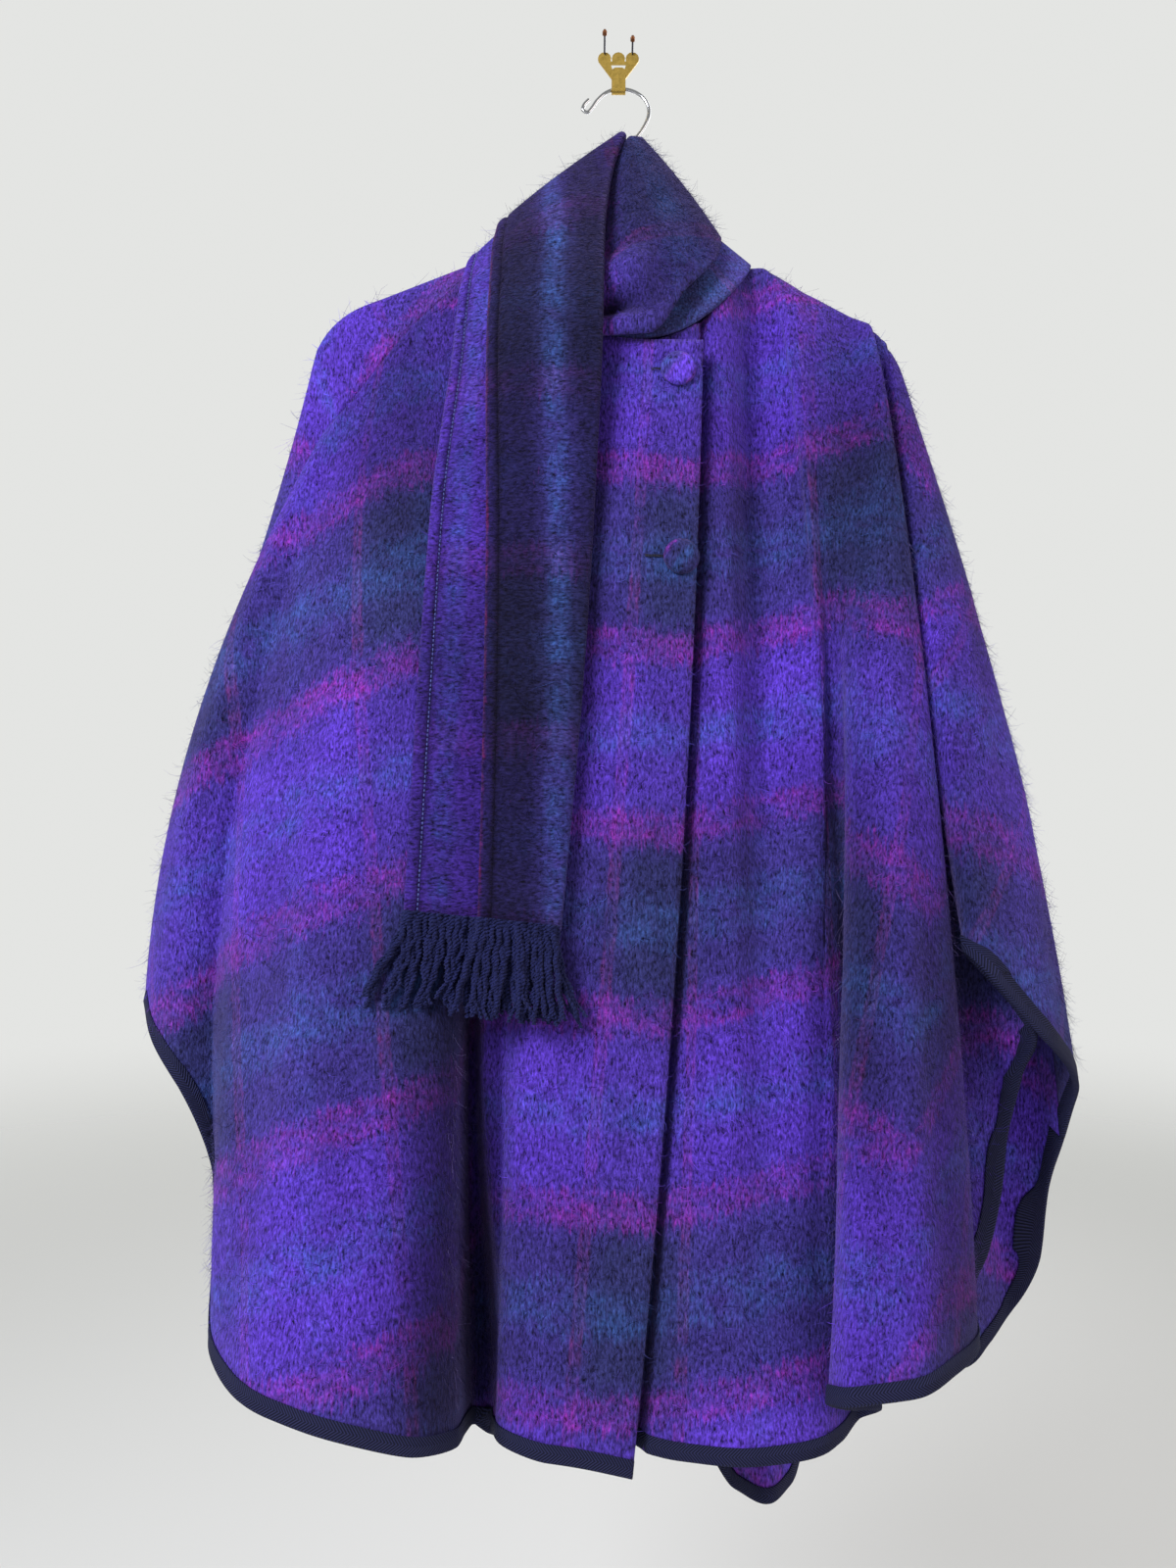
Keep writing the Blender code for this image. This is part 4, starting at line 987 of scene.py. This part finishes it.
def dress_braids(looks):
    """The braid folded over each hem, its edges square to the hem."""
    finish = woven_braid(looks)
    tall = looks.braid_tall / MM
    near, far = CLOTH / 2 + 0.15, CLOTH / 2 + 1.25
    section = [
        (tall, near), (tall, far - 0.3), (tall - 0.6, far), (tall * 0.5, far), (0.5, far),
        (-0.9, far * 0.7), (-1.4, 0.0), (-0.9, -far * 0.7),
        (0.5, -far), (tall * 0.5, -far), (tall - 0.6, -far), (tall, -far + 0.3), (tall, -near),
        (0.3, -near), (0.3, near),
    ]
    for name, cut in CUTS.items():
        across = np.linspace(0, cut.last, cut.last * FINE * 2 + 1)
        step_across, step_down, inward = square_to_hem(cut, across)
        run = travel(cut.surface(across, np.ones_like(across))[0])
        rings, places = [], []
        for up, height in section:
            inside = max(up, 0.0)
            points, out = cut.surface(np.clip(across + step_across * inside, 0, cut.last),
                                      np.clip(1 + step_down * inside, 0, 1))
            rings.append(points + out * height + inward * min(up, 0.0))
            places.append(np.stack([run, np.full_like(run, up), np.ones_like(run)], axis=1))
        piece = loft("edge_" + name, np.stack(rings, axis=1), finish, np.stack(places, axis=1))
        settle(piece, "braid", "braid_" + name)


def dress_collar(looks):
    """The stand collar, a ring that leans in from the neckline."""
    places = np.linspace(0, len(COLLAR), 12 * len(COLLAR), endpoint=False)
    ring = flowing([row[1:] for row in COLLAR], places, closed=True)
    lower, upper = ring[:, 0:3], ring[:, 3:6]
    share = np.linspace(1, 0, 14)[:, None, None]
    grid = lower + (upper - lower) * share
    run = travel(lower)
    tall = np.linalg.norm(upper - lower, axis=1)
    weft = (1 - share[:, :, 0]) * tall + COLLAR_WEFT
    # the collar's tone is painted light
    weave = np.stack(np.broadcast_arrays(run + COLLAR_WARP, weft, COLLAR_PAINTED_LIGHT), axis=2)
    piece = hang_cloth("collar", grid, plaid(looks, "brushed mohair"), weave, closed=True)


def dress_scarf(looks, trim):
    """The scarf: the stretch across the throat, and the hanging end, folded lengthwise."""
    dress_crossing(looks)
    dress_tail(looks, trim)


def dress_crossing(looks):
    """The stretch round the neck, puffed at the throat above a crease and a lower roll."""
    last = len(SCARF_CROSS) - 1
    places = np.linspace(0, last, CROSS_STEPS * last + 1)
    wraps = along(SCARF_CROSS, places)
    share = np.linspace(1, 0, 61)[:, None]
    lower, upper = wraps[:, 0:3], wraps[:, 3:6]
    grid = lower + (upper - lower) * share[:, :, None]
    swell = wraps[:, 6] * np.sin(pi * share)
    tone = np.full_like(swell, CROSS_TONE)
    for puff in CROSS_PUFFS:
        full = np.exp(-((places - puff.at) / puff.reach) ** 2 - ((share - puff.up) / puff.tall) ** 2)
        swell = swell + puff.deep * full
        # painted light on the puffs and painted shade in the creases between them
        tone *= 1 + puff.light * full
    out = normals(grid)
    grid = grid + out * swell[:, :, None]
    run = travel(lower)
    tall = np.linalg.norm(upper - lower, axis=1)
    warp = (1 - share) * tall * CROSS_SLACK + CROSS_WARP
    weft = (run - run[CROSS_STEPS * NECK_SIDE]) * CROSS_SLACK + CROSS_WEFT
    weave = np.stack(np.broadcast_arrays(warp, weft, tone), axis=2)
    piece = hang_cloth("scarf_cross", grid, plaid(looks, "brushed mohair"), weave)
    loose = plaid(looks, "loose mohair")
    nap = lay_fibres("nap_scarf_cross", grid, out, weave, looks.nap_count // 6, 3, loose)


def tail_layers():
    """The hanging end's two layers as one grid, round the fold, with the directions away from the
    cape, the distance of each point from its layer's open edge, and the columns of each layer."""
    places = np.linspace(0, len(SCARF_TAIL) - 1, 14 * (len(SCARF_TAIL) - 1) + 1)
    rows = along(SCARF_TAIL, places)
    edge, fold = rows[:, None, 0:3], rows[:, None, 3:6]
    wide = np.linalg.norm(fold - edge, axis=2)
    seam = SEAM_IN + np.array([-9, -7, -5, -3, -2, -1, 0, 1, 2, 3.5])
    layers, inset = [], []
    for bare in (0.0, rows[:, 6:7]):
        clear = wide * (1 - bare)
        rest = seam[-1] + np.linspace(0, 1, 19)[1:] * (clear - seam[-1])
        off = np.concatenate([np.broadcast_to(seam, (len(rows), len(seam))), rest], axis=1)
        grid, out = tail_layer(edge, fold, rows[:, 7:8], bare + off / wide)
        roll = 0.9 * np.exp(-((off - SEAM_IN + 5) / 3) ** 2)
        roll = roll - SEAM_DEEP * np.exp(-((off - SEAM_IN) / 1.5) ** 2)
        layers.append((grid + out * roll[:, :, None], out))
        inset.append(off)
    (under, out), (over, out_over) = layers
    over = (over + out_over * SCARF_PLY)[:, ::-1]
    side = unit(under[:, -1] - under[:, -2])
    turns = np.linspace(-pi / 2, pi / 2, FOLD_STEPS + 2)[1:-1]
    middle = under[:, -1] + out[:, -1] * SCARF_PLY / 2
    bend = [middle + (side * np.cos(t) + out[:, -1] * np.sin(t)) * SCARF_PLY / 2 for t in turns]
    grid = np.concatenate([under, np.stack(bend, axis=1), over], axis=1)
    outward = np.concatenate([out, np.repeat(out[:, -1:], FOLD_STEPS, axis=1), out_over[:, ::-1]], axis=1)
    turned = inset[1][:, ::-1]
    inset = np.concatenate([inset[0], np.repeat(turned[:, :1], FOLD_STEPS, axis=1), turned], axis=1)
    return grid, outward, inset, under.shape[1]


def tail_layer(edge, fold, swell, shares):
    """Points of a layer at shares of its width, and the directions away from the cape."""
    grid = edge + (fold - edge) * shares[:, :, None]
    out = -normals(grid)
    return grid + out * (swell * np.sin(pi * shares))[:, :, None], out


def dress_tail(looks, trim):
    """The hanging end, with its sewn edges and its fringe."""
    grid, out, inset, under = tail_layers()
    fall = travel(grid.mean(axis=1))[:, None]
    warp = looks.warp_repeat / MM / 2 + EDGE_LINE + inset
    warp[:, :under - 1] = OUTER_WARP - inset[:, :under - 1]
    teal = looks.warp_repeat / MM * 0.75
    tone = 0.25 + 0.62 * np.exp(-((warp - teal) / 12) ** 2)
    tone[:, :under] = np.interp(fall, [150, 480], [0.8, 0.4])
    # painted shade: the cloth is darkened along the sewn groove, where shadow falls
    tone *= 1 - 0.8 * np.exp(-((inset - SEAM_IN) / 2.4) ** 2)
    weave = np.stack(np.broadcast_arrays(warp, fall + TAIL_WEFT, tone), axis=2)
    piece = hang_cloth("scarf_tail", grid, plaid(looks, "scarf mohair"), weave, CLOTH * 0.8)
    stitches = sew_edge(trim, grid, out, inset)
    fringes = dress_fringe(trim, grid, out, under)
    loose = plaid(looks, "loose scarf mohair")
    nap = lay_fibres("nap_scarf_tail", grid, out, weave, looks.nap_count // 4, 4, loose)


def sew_edge(looks, grid, out, inset):
    """A row of stitches in the groove along the outer edge of the hanging end."""
    column = np.argmin(np.abs(inset[-1] - SEAM_IN))
    line, lift = grid[:, column], out[:, column]
    run = travel(line)
    rise = CLOTH * 0.4 + np.array([-0.3, 0.5, 0.5, -0.3])
    points, faces = [], []
    for start in np.arange(STITCH_LONG, run[-1] - STITCH_LONG, STITCH_LONG + STITCH_GAP):
        places = start + STITCH_LONG * np.array([0.0, 0.3, 0.7, 1.0])
        up = unit(read_line(lift, run, places))
        add_thread(points, faces, read_line(line, run, places) + up * rise[:, None], up, STITCH_THICK)
    piece = add_mesh("scarf_stitches", points, faces, sewing_thread("sewing thread", looks.thread))
    settle(piece, "mohair")
    return piece


def add_thread(points, faces, line, up, thick):
    """Add a thread along a short line of points."""
    side = unit(np.cross(up, line[-1] - line[0]))
    turns = np.arange(THREAD_SIDES) * 2 * pi / THREAD_SIDES
    faces += tube(len(line), THREAD_SIDES, len(points))
    for middle, across, rise in zip(line, side, up):
        points += [middle + (across * cos(turn) + rise * sin(turn)) * thick for turn in turns]


def dress_fringe(looks, grid, out, under):
    """Twisted yarn strands, each of two plies, that hang in clumps from the end of both layers."""
    finish = twisted_yarn(looks)
    rng = np.random.default_rng(41)
    pieces = []
    over = under + FOLD_STEPS
    layers = (("fringe_under", grid[-1, :under], out[-1, :under], 22.0),
              ("fringe_over", grid[-1, over:][::-1], out[-1, over:][::-1], 12.0))
    drop = unit(grid[-1, under // 2] - grid[-4, under // 2])
    count = looks.strands // 2
    for name, edge, lift, spread in layers:
        run = travel(edge)
        side = unit(edge[-1] - edge[0])
        points, faces = [], []
        for first in range(0, count, CLUMP):
            centre = (first + CLUMP / 2) / count
            lean = spread * (2 * centre - 1) + rng.normal(0, 3.5)
            wave = (rng.uniform(0.5, 1.1), rng.uniform(0, 2 * pi), rng.uniform(1.0, 3.6))
            for k in range(first, min(first + CLUMP, count)):
                share = (k + rng.uniform(0.1, 0.9)) / count
                up = unit(read_line(lift, run, share * run[-1]))
                long = looks.fringe / MM * rng.uniform(0.84, 1.03)
                gather = (centre - share) * run[-1] * 0.45
                root = read_line(edge, run, share * run[-1]) + up * rng.uniform(-2.0, 3.4)
                strand(points, faces, root, (drop, side, up), long, lean + gather, wave, rng)
        piece = add_mesh("yarn_" + name, points, faces, finish)
        settle(piece, "yarn", name)
        pieces.append(piece)
    return pieces


def strand(points, faces, root, ways, long, lean, wave, rng):
    """Add one strand: two plies wound round each other along a line that sways with its clump, and
    is matted at its root."""
    drop, side, up = ways
    t = np.linspace(0, 1, STRAND_STEPS)[:, None]
    waves, phase, swing = wave
    own = rng.uniform(0, 2 * pi)
    kink = rng.uniform(0.5, 1.3) * np.sin(2 * pi * long / rng.uniform(13, 20) * t + own)
    sway = swing * np.sin(2 * pi * waves * t + phase) * t + kink * np.minimum(1, 6 * t)
    bulge = rng.uniform(-0.5, 3.4) * t
    bulge = bulge + rng.uniform(0.4, 1.4) * np.cos(2 * pi * long / rng.uniform(13, 20) * t + own)
    curl = rng.normal(0, 2.5) * np.maximum(t - 0.7, 0) ** 2 / 0.09
    line = root + drop * (long * t - 3.0) + side * (lean * t ** 1.3 + sway + curl) + up * bulge
    twist = 2 * pi * (long / YARN_PITCH) * t + own
    thick = YARN_PLY * (1 + 0.18 * np.sin(2 * twist)) * np.minimum(1, 1.25 - 0.4 * t)
    thick = thick * (1 + 0.5 * np.exp(-(t / 0.12) ** 2))
    turns = np.arange(PLY_SIDES)[:, None] * 2 * pi / PLY_SIDES
    ring = side * np.cos(turns) + up * np.sin(turns)
    for ply in (0, pi):
        middle = line + (side * np.cos(twist + ply) + up * np.sin(twist + ply)) * thick * 0.85
        faces += tube(STRAND_STEPS, PLY_SIDES, len(points))
        points += list((middle[:, None] + ring * thick[:, :, None]).reshape(-1, 3))


def dress_buttons(looks, trim):
    """Cloth-covered buttons, domed and gathered in at the back, and their buttonholes."""
    cut = CUTS["front_right"]
    points, faces = [], []
    for button in BUTTONS:
        point, out = cut.surface(np.array([button.across]), np.array([button.down]))
        cover_button(looks, button, point[0] + out[0] * (CLOTH / 2), out[0])
        sew_hole(points, faces, cut, button)
    piece = add_mesh("buttonholes", points, faces, sewing_thread("buttonhole twist", trim.hole))
    settle(piece, "mohair")


def cover_button(looks, button, centre, out):
    """One button, with the plaid set askew on it."""
    radius = BUTTON_WIDE / 2 * MM
    bpy.ops.mesh.primitive_uv_sphere_add(segments=48, ring_count=24, radius=radius)
    piece = bpy.context.object
    piece.name = "covered_" + button.name
    weave = []
    for vertex in piece.data.vertices:
        x, y = vertex.co.x, vertex.co.y
        height = vertex.co.z / radius
        vertex.co.z = BUTTON_DEEP * MM * (0.28 + (0.72 if height > 0 else 0.3) * height)
        warp = button.warp * MM + 0.87 * x + 0.5 * y
        weft = button.weft * MM + button.skew * (0.6 * y - 0.8 * x)
        # painted shade: the cover's tone darkens towards its rim and its gathered back
        weave.append((warp, weft, button.tone * (1 - 0.7 * (1 - max(height, 0)) ** 3)))
    piece.rotation_euler = Vector(out).to_track_quat("Z", "Y").to_euler()
    piece.location = Vector(centre) * MM
    bpy.ops.object.transform_apply(location=True, rotation=True, scale=True)
    bpy.ops.object.shade_smooth()
    places = piece.data.attributes.new("weave", "FLOAT_VECTOR", "POINT")
    places.data.foreach_set("vector", np.array(weave).ravel())
    piece.data.materials.append(plaid(looks, "brushed mohair"))
    settle(piece, "button cover", button.name)


def sew_hole(points, faces, cut, button):
    """Add a buttonhole: close stitches over both lips of a slit that runs out from its button."""
    run, drop = (way[0] for way in cut.tangents(np.array([button.across]), np.array([button.down])))
    across = button.across + np.arange(0.0, button.hole, 1.0) / np.linalg.norm(run)
    for lip in (-1, 0, 1):
        down = np.full_like(across, button.down + lip * HOLE_LIP / np.linalg.norm(drop))
        middle, out = cut.surface(across, down)
        line = middle + out * (CLOTH / 2 + 0.5)
        for k in range(len(line) - 1):
            tie = np.stack([line[k], line[k + 1]]) + out[k] * (0.35 if lip and k % 2 else 0.0)
            add_thread(points, faces, tie, out[k:k + 2], HOLE_TWIST)


def dress_nap(looks):
    """Brushed mohair fibres that lie down the cloth, with some that stand off it."""
    loose = plaid(looks, "loose mohair")
    for seed, (name, cut) in enumerate(CUTS.items()):
        lay_fibres("nap_" + name, cut.grid, cut.out, cut.weave, looks.nap_count, seed, loose)


def lay_fibres(name, grid, out, weave, count, seed, finish):
    """One mesh of thin ribbons, rooted all over a cloth; each keeps its root's colour."""
    rng = np.random.default_rng(seed)
    cells = cell_areas(grid)
    cells[-BARE_ROWS:] = 0
    row, column = np.divmod(rng.choice(cells.size, count, p=cells.ravel() / cells.sum()), cells.shape[1])
    down, across = rng.random((count, 1)), rng.random((count, 1))

    def read(table):
        upper = table[row, column] * (1 - across) + table[row, column + 1] * across
        lower = table[row + 1, column] * (1 - across) + table[row + 1, column + 1] * across
        return upper * (1 - down) + lower * down

    root, up, place = read(grid), unit(read(out)), read(weave)
    fall = unit(read(np.gradient(grid, axis=0)))
    side = np.cross(fall, up)
    loose = rng.random((count, 1)) < LOOSE_SHARE
    short, long, low, high, wide, turn = (np.where(loose, a, b) for a, b in zip(LOOSE, PILE))
    reach = rng.uniform(short, long)
    lift = rng.uniform(low, high)
    heading = rng.normal(0, turn)
    curl = rng.normal(0, 1.1, (count, 1))
    roll = rng.uniform(0, pi, (count, 1)) * loose
    line = root + up * (CLOTH / 2)
    points = []
    for k, t in enumerate(np.linspace(0, 1, FIBRE_STEPS)):
        bend = heading + curl * t
        if k:
            line = line + (fall * np.cos(bend) + side * np.sin(bend)) * reach / (FIBRE_STEPS - 1)
        middle = line + up * lift * t ** 1.4
        flat = (side * np.cos(bend) - fall * np.sin(bend)) * np.cos(roll) + up * np.sin(roll)
        half = flat * wide / 2 * (1 - 0.7 * t)
        points += [middle - half, middle + half]
    points = np.stack(points, axis=1)
    strip = np.array([[2 * k, 2 * k + 1, 2 * k + 3, 2 * k + 2] for k in range(FIBRE_STEPS - 1)])
    faces = (strip[None] + (np.arange(count) * 2 * FIBRE_STEPS)[:, None, None]).reshape(-1, 4)
    places = np.repeat(place[:, None], 2 * FIBRE_STEPS, axis=1)
    piece = add_mesh(name, points, faces.tolist(), finish, places)
    piece.data.normals_split_custom_set_from_vertices(np.repeat(up, 2 * FIBRE_STEPS, axis=0).tolist())
    settle(piece, "mohair")
    return piece


def declare_panels():
    """Work out the flat size and the area of the three panels' cuts; nothing is done with them."""
    for name, cut in CUTS.items():
        flat, area = cut.flat_size()


def dress_hanger(looks):
    """The wire hook as a smooth tube, and the wooden bar."""
    route = np.array([(x, lean_y(z), z) for x, z in WIRE_ROUTE])
    smooth = flowing(route, np.linspace(0, len(route) - 1, 8 * (len(route) - 1) + 1))
    bpy.ops.curve.primitive_nurbs_path_add()
    piece = bpy.context.object
    piece.name = "wire_hook"
    wire = piece.data
    wire.splines.clear()
    spline = wire.splines.new("POLY")
    spline.points.add(len(smooth) - 1)
    for point, place in zip(spline.points, smooth):
        point.co = (*(place * MM), 1.0)
    wire.bevel_depth = WIRE / 2 * MM
    wire.bevel_resolution = 6
    wire.use_fill_caps = True
    piece.location = (0, 0, 0)
    bpy.ops.object.convert(target="MESH")
    piece.data.shade_smooth()
    piece.data.materials.append(metal("chromed wire", looks.chrome, 0.08, 0.1))
    settle(piece, "chrome", "hanger_hook")
    wear(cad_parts["hanger_bar"], waxed_beech(looks))


def wear(piece, finish):
    """Give a solid of the frame a finish."""
    piece.data.materials.clear()
    piece.data.materials.append(finish)


def dress_wall_hook(looks):
    """The pressed brass hook and its pins keep their solids."""
    wear(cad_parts["wall_hook"], metal("pressed brass", looks.brass, 0.3, 0.2))
    steel = metal("blued steel", looks.pin, 0.3, 0.3)
    copper = metal("coppered steel", looks.head, 0.3, 0.3)
    for name in ("pin_left", "pin_right"):
        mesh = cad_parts[name].data
        wear(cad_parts[name], steel)
        mesh.materials.append(copper)
        top = max(vertex.co.z for vertex in mesh.vertices)
        for face in mesh.polygons:
            face.material_index = int(face.center.z > top - PIN_HEAD * MM)


def pale_floor(looks):
    """A plain pale floor that fades out far from the cape, so that no horizon shows."""
    finish, tree, shader = new_finish("pale floor", Roughness=0.8, Base_Color=looks.floor)
    place = add_node(tree, "TexCoord").outputs["Object"]
    away = add_node(tree, "VectorMath", {0: place}, operation="LENGTH")
    fade = add_node(tree, "MapRange", {"Value": away.outputs["Value"], "From Min": 1.0, "From Max": 4.5},
                    interpolation_type="SMOOTHSTEP")
    clear = add_node(tree, "BsdfTransparent")
    mix = add_node(tree, "MixShader", {0: fade.outputs[0], 1: shader.outputs[0], 2: clear.outputs[0]})
    tree.links.new(mix.outputs[0], tree.nodes["Material Output"].inputs["Surface"])
    return finish


def surround(sky):
    """Plain studio light all round, weaker before the cape than behind it."""
    world = bpy.data.worlds.new("studio")
    world.use_nodes = True
    tree = world.node_tree
    way = add_node(tree, "TexCoord").outputs["Generated"]
    ahead = add_node(tree, "SeparateXYZ", {0: way}).outputs["Y"]
    strength = add_node(tree, "MapRange", {"Value": ahead, "From Min": -0.5, "From Max": 0.6,
                                           "To Min": sky[0], "To Max": sky[1]})
    back = tree.nodes["Background"]
    back.inputs["Color"].default_value = linear("E9EAE8")
    tree.links.new(strength.outputs[0], back.inputs["Strength"])
    return world


def set_stage(looks):
    """A pale floor, soft light and the camera at the photograph's viewing angle."""
    scene = bpy.context.scene
    low = CAD_BOX[0][2] - looks.below
    bpy.ops.mesh.primitive_circle_add(vertices=96, radius=6, fill_type="NGON", location=(0, 0, low))
    floor = bpy.context.object
    floor.name = "floor"
    floor.data.materials.append(pale_floor(looks))
    scene.world = surround(SKY)
    for name, place, size, power, hue in LAMPS:
        data = bpy.data.lights.new(name, "AREA")
        data.shape = "DISK"
        data.size = size
        data.energy = power
        data.color = linear(hue)[:3]
        lamp = bpy.data.objects.new(name, data)
        lamp.location = place
        lamp.rotation_euler = (Vector(place) - Vector((0, -0.1, -0.6))).to_track_quat("Z", "Y").to_euler()
        scene.collection.objects.link(lamp)
    camera = bpy.data.objects.new("camera", bpy.data.cameras.new("camera"))
    camera.data.sensor_fit = "VERTICAL"
    camera.data.sensor_height = 36
    camera.data.lens = 31
    camera.location = CAMERA
    camera.rotation_euler = (radians(90), 0, 0)
    scene.collection.objects.link(camera)
    scene.camera = camera
    scene.view_settings.view_transform = "Standard"


class CAPE_OT_panels(bpy.types.Operator):
    """Hang the back and the two fronts"""

    bl_idname = "cape.panels"
    bl_label = "Panels"

    def execute(self, context):
        dress_panels(context.scene.cape_cloth)
        return {"FINISHED"}


class CAPE_OT_braids(bpy.types.Operator):
    """Fold the braid over the hems"""

    bl_idname = "cape.braids"
    bl_label = "Braids"

    def execute(self, context):
        dress_braids(context.scene.cape_trim)
        return {"FINISHED"}


class CAPE_OT_collar(bpy.types.Operator):
    """Stand the collar on the neckline"""

    bl_idname = "cape.collar"
    bl_label = "Collar"

    def execute(self, context):
        dress_collar(context.scene.cape_cloth)
        return {"FINISHED"}


class CAPE_OT_scarf(bpy.types.Operator):
    """Wrap the scarf round the neck and hang its fringed end"""

    bl_idname = "cape.scarf"
    bl_label = "Scarf"

    def execute(self, context):
        dress_scarf(context.scene.cape_cloth, context.scene.cape_trim)
        return {"FINISHED"}


class CAPE_OT_buttons(bpy.types.Operator):
    """Sew on the covered buttons"""

    bl_idname = "cape.buttons"
    bl_label = "Buttons"

    def execute(self, context):
        dress_buttons(context.scene.cape_cloth, context.scene.cape_trim)
        return {"FINISHED"}


class CAPE_OT_nap(bpy.types.Operator):
    """Brush up the loose fibres of the cloth"""

    bl_idname = "cape.nap"
    bl_label = "Nap"

    def execute(self, context):
        dress_nap(context.scene.cape_cloth)
        declare_panels()
        return {"FINISHED"}


class CAPE_OT_hanger(bpy.types.Operator):
    """Finish the hanger and its wire hook"""

    bl_idname = "cape.hanger"
    bl_label = "Hanger"

    def execute(self, context):
        dress_hanger(context.scene.cape_hardware)
        return {"FINISHED"}


class CAPE_OT_wall_hook(bpy.types.Operator):
    """Finish the wall hook and its pins"""

    bl_idname = "cape.wall_hook"
    bl_label = "Wall hook"

    def execute(self, context):
        dress_wall_hook(context.scene.cape_hardware)
        return {"FINISHED"}


class CAPE_OT_stage(bpy.types.Operator):
    """Set the floor, the light and the camera"""

    bl_idname = "cape.stage"
    bl_label = "Stage"

    def execute(self, context):
        set_stage(context.scene.cape_stage)
        return {"FINISHED"}


STEPS = (
    CAPE_OT_panels, CAPE_OT_braids, CAPE_OT_collar, CAPE_OT_scarf, CAPE_OT_buttons, CAPE_OT_nap,
    CAPE_OT_hanger, CAPE_OT_wall_hook, CAPE_OT_stage,
)


class CAPE_PT_looks(bpy.types.Panel):
    """Lists the steps that dress the cape"""

    bl_label = "Cape"
    bl_space_type = "VIEW_3D"
    bl_region_type = "UI"
    bl_category = "Cape"

    def draw(self, context):
        for step in STEPS:
            self.layout.operator(step.bl_idname)


GROUPS = {
    "cape_cloth": ClothLooks,
    "cape_trim": TrimLooks,
    "cape_hardware": HardwareLooks,
    "cape_stage": StageLooks,
}


def register():
    for group in (*GROUPS.values(), *STEPS, CAPE_PT_looks):
        bpy.utils.register_class(group)
    for name, group in GROUPS.items():
        setattr(bpy.types.Scene, name, bpy.props.PointerProperty(type=group))


def unregister():
    for name in GROUPS:
        delattr(bpy.types.Scene, name)
    for group in (CAPE_PT_looks, *reversed(STEPS), *GROUPS.values()):
        bpy.utils.unregister_class(group)


def main():
    """Dress the cape step by step."""
    register()
    bpy.ops.object.select_all(action="DESELECT")
    bpy.ops.cape.panels()
    bpy.ops.cape.braids()
    bpy.ops.cape.collar()
    bpy.ops.cape.scarf()
    bpy.ops.cape.buttons()
    bpy.ops.cape.nap()
    bpy.ops.cape.hanger()
    bpy.ops.cape.wall_hook()
    bpy.ops.cape.stage()


if __name__ == "__main__":
    main()
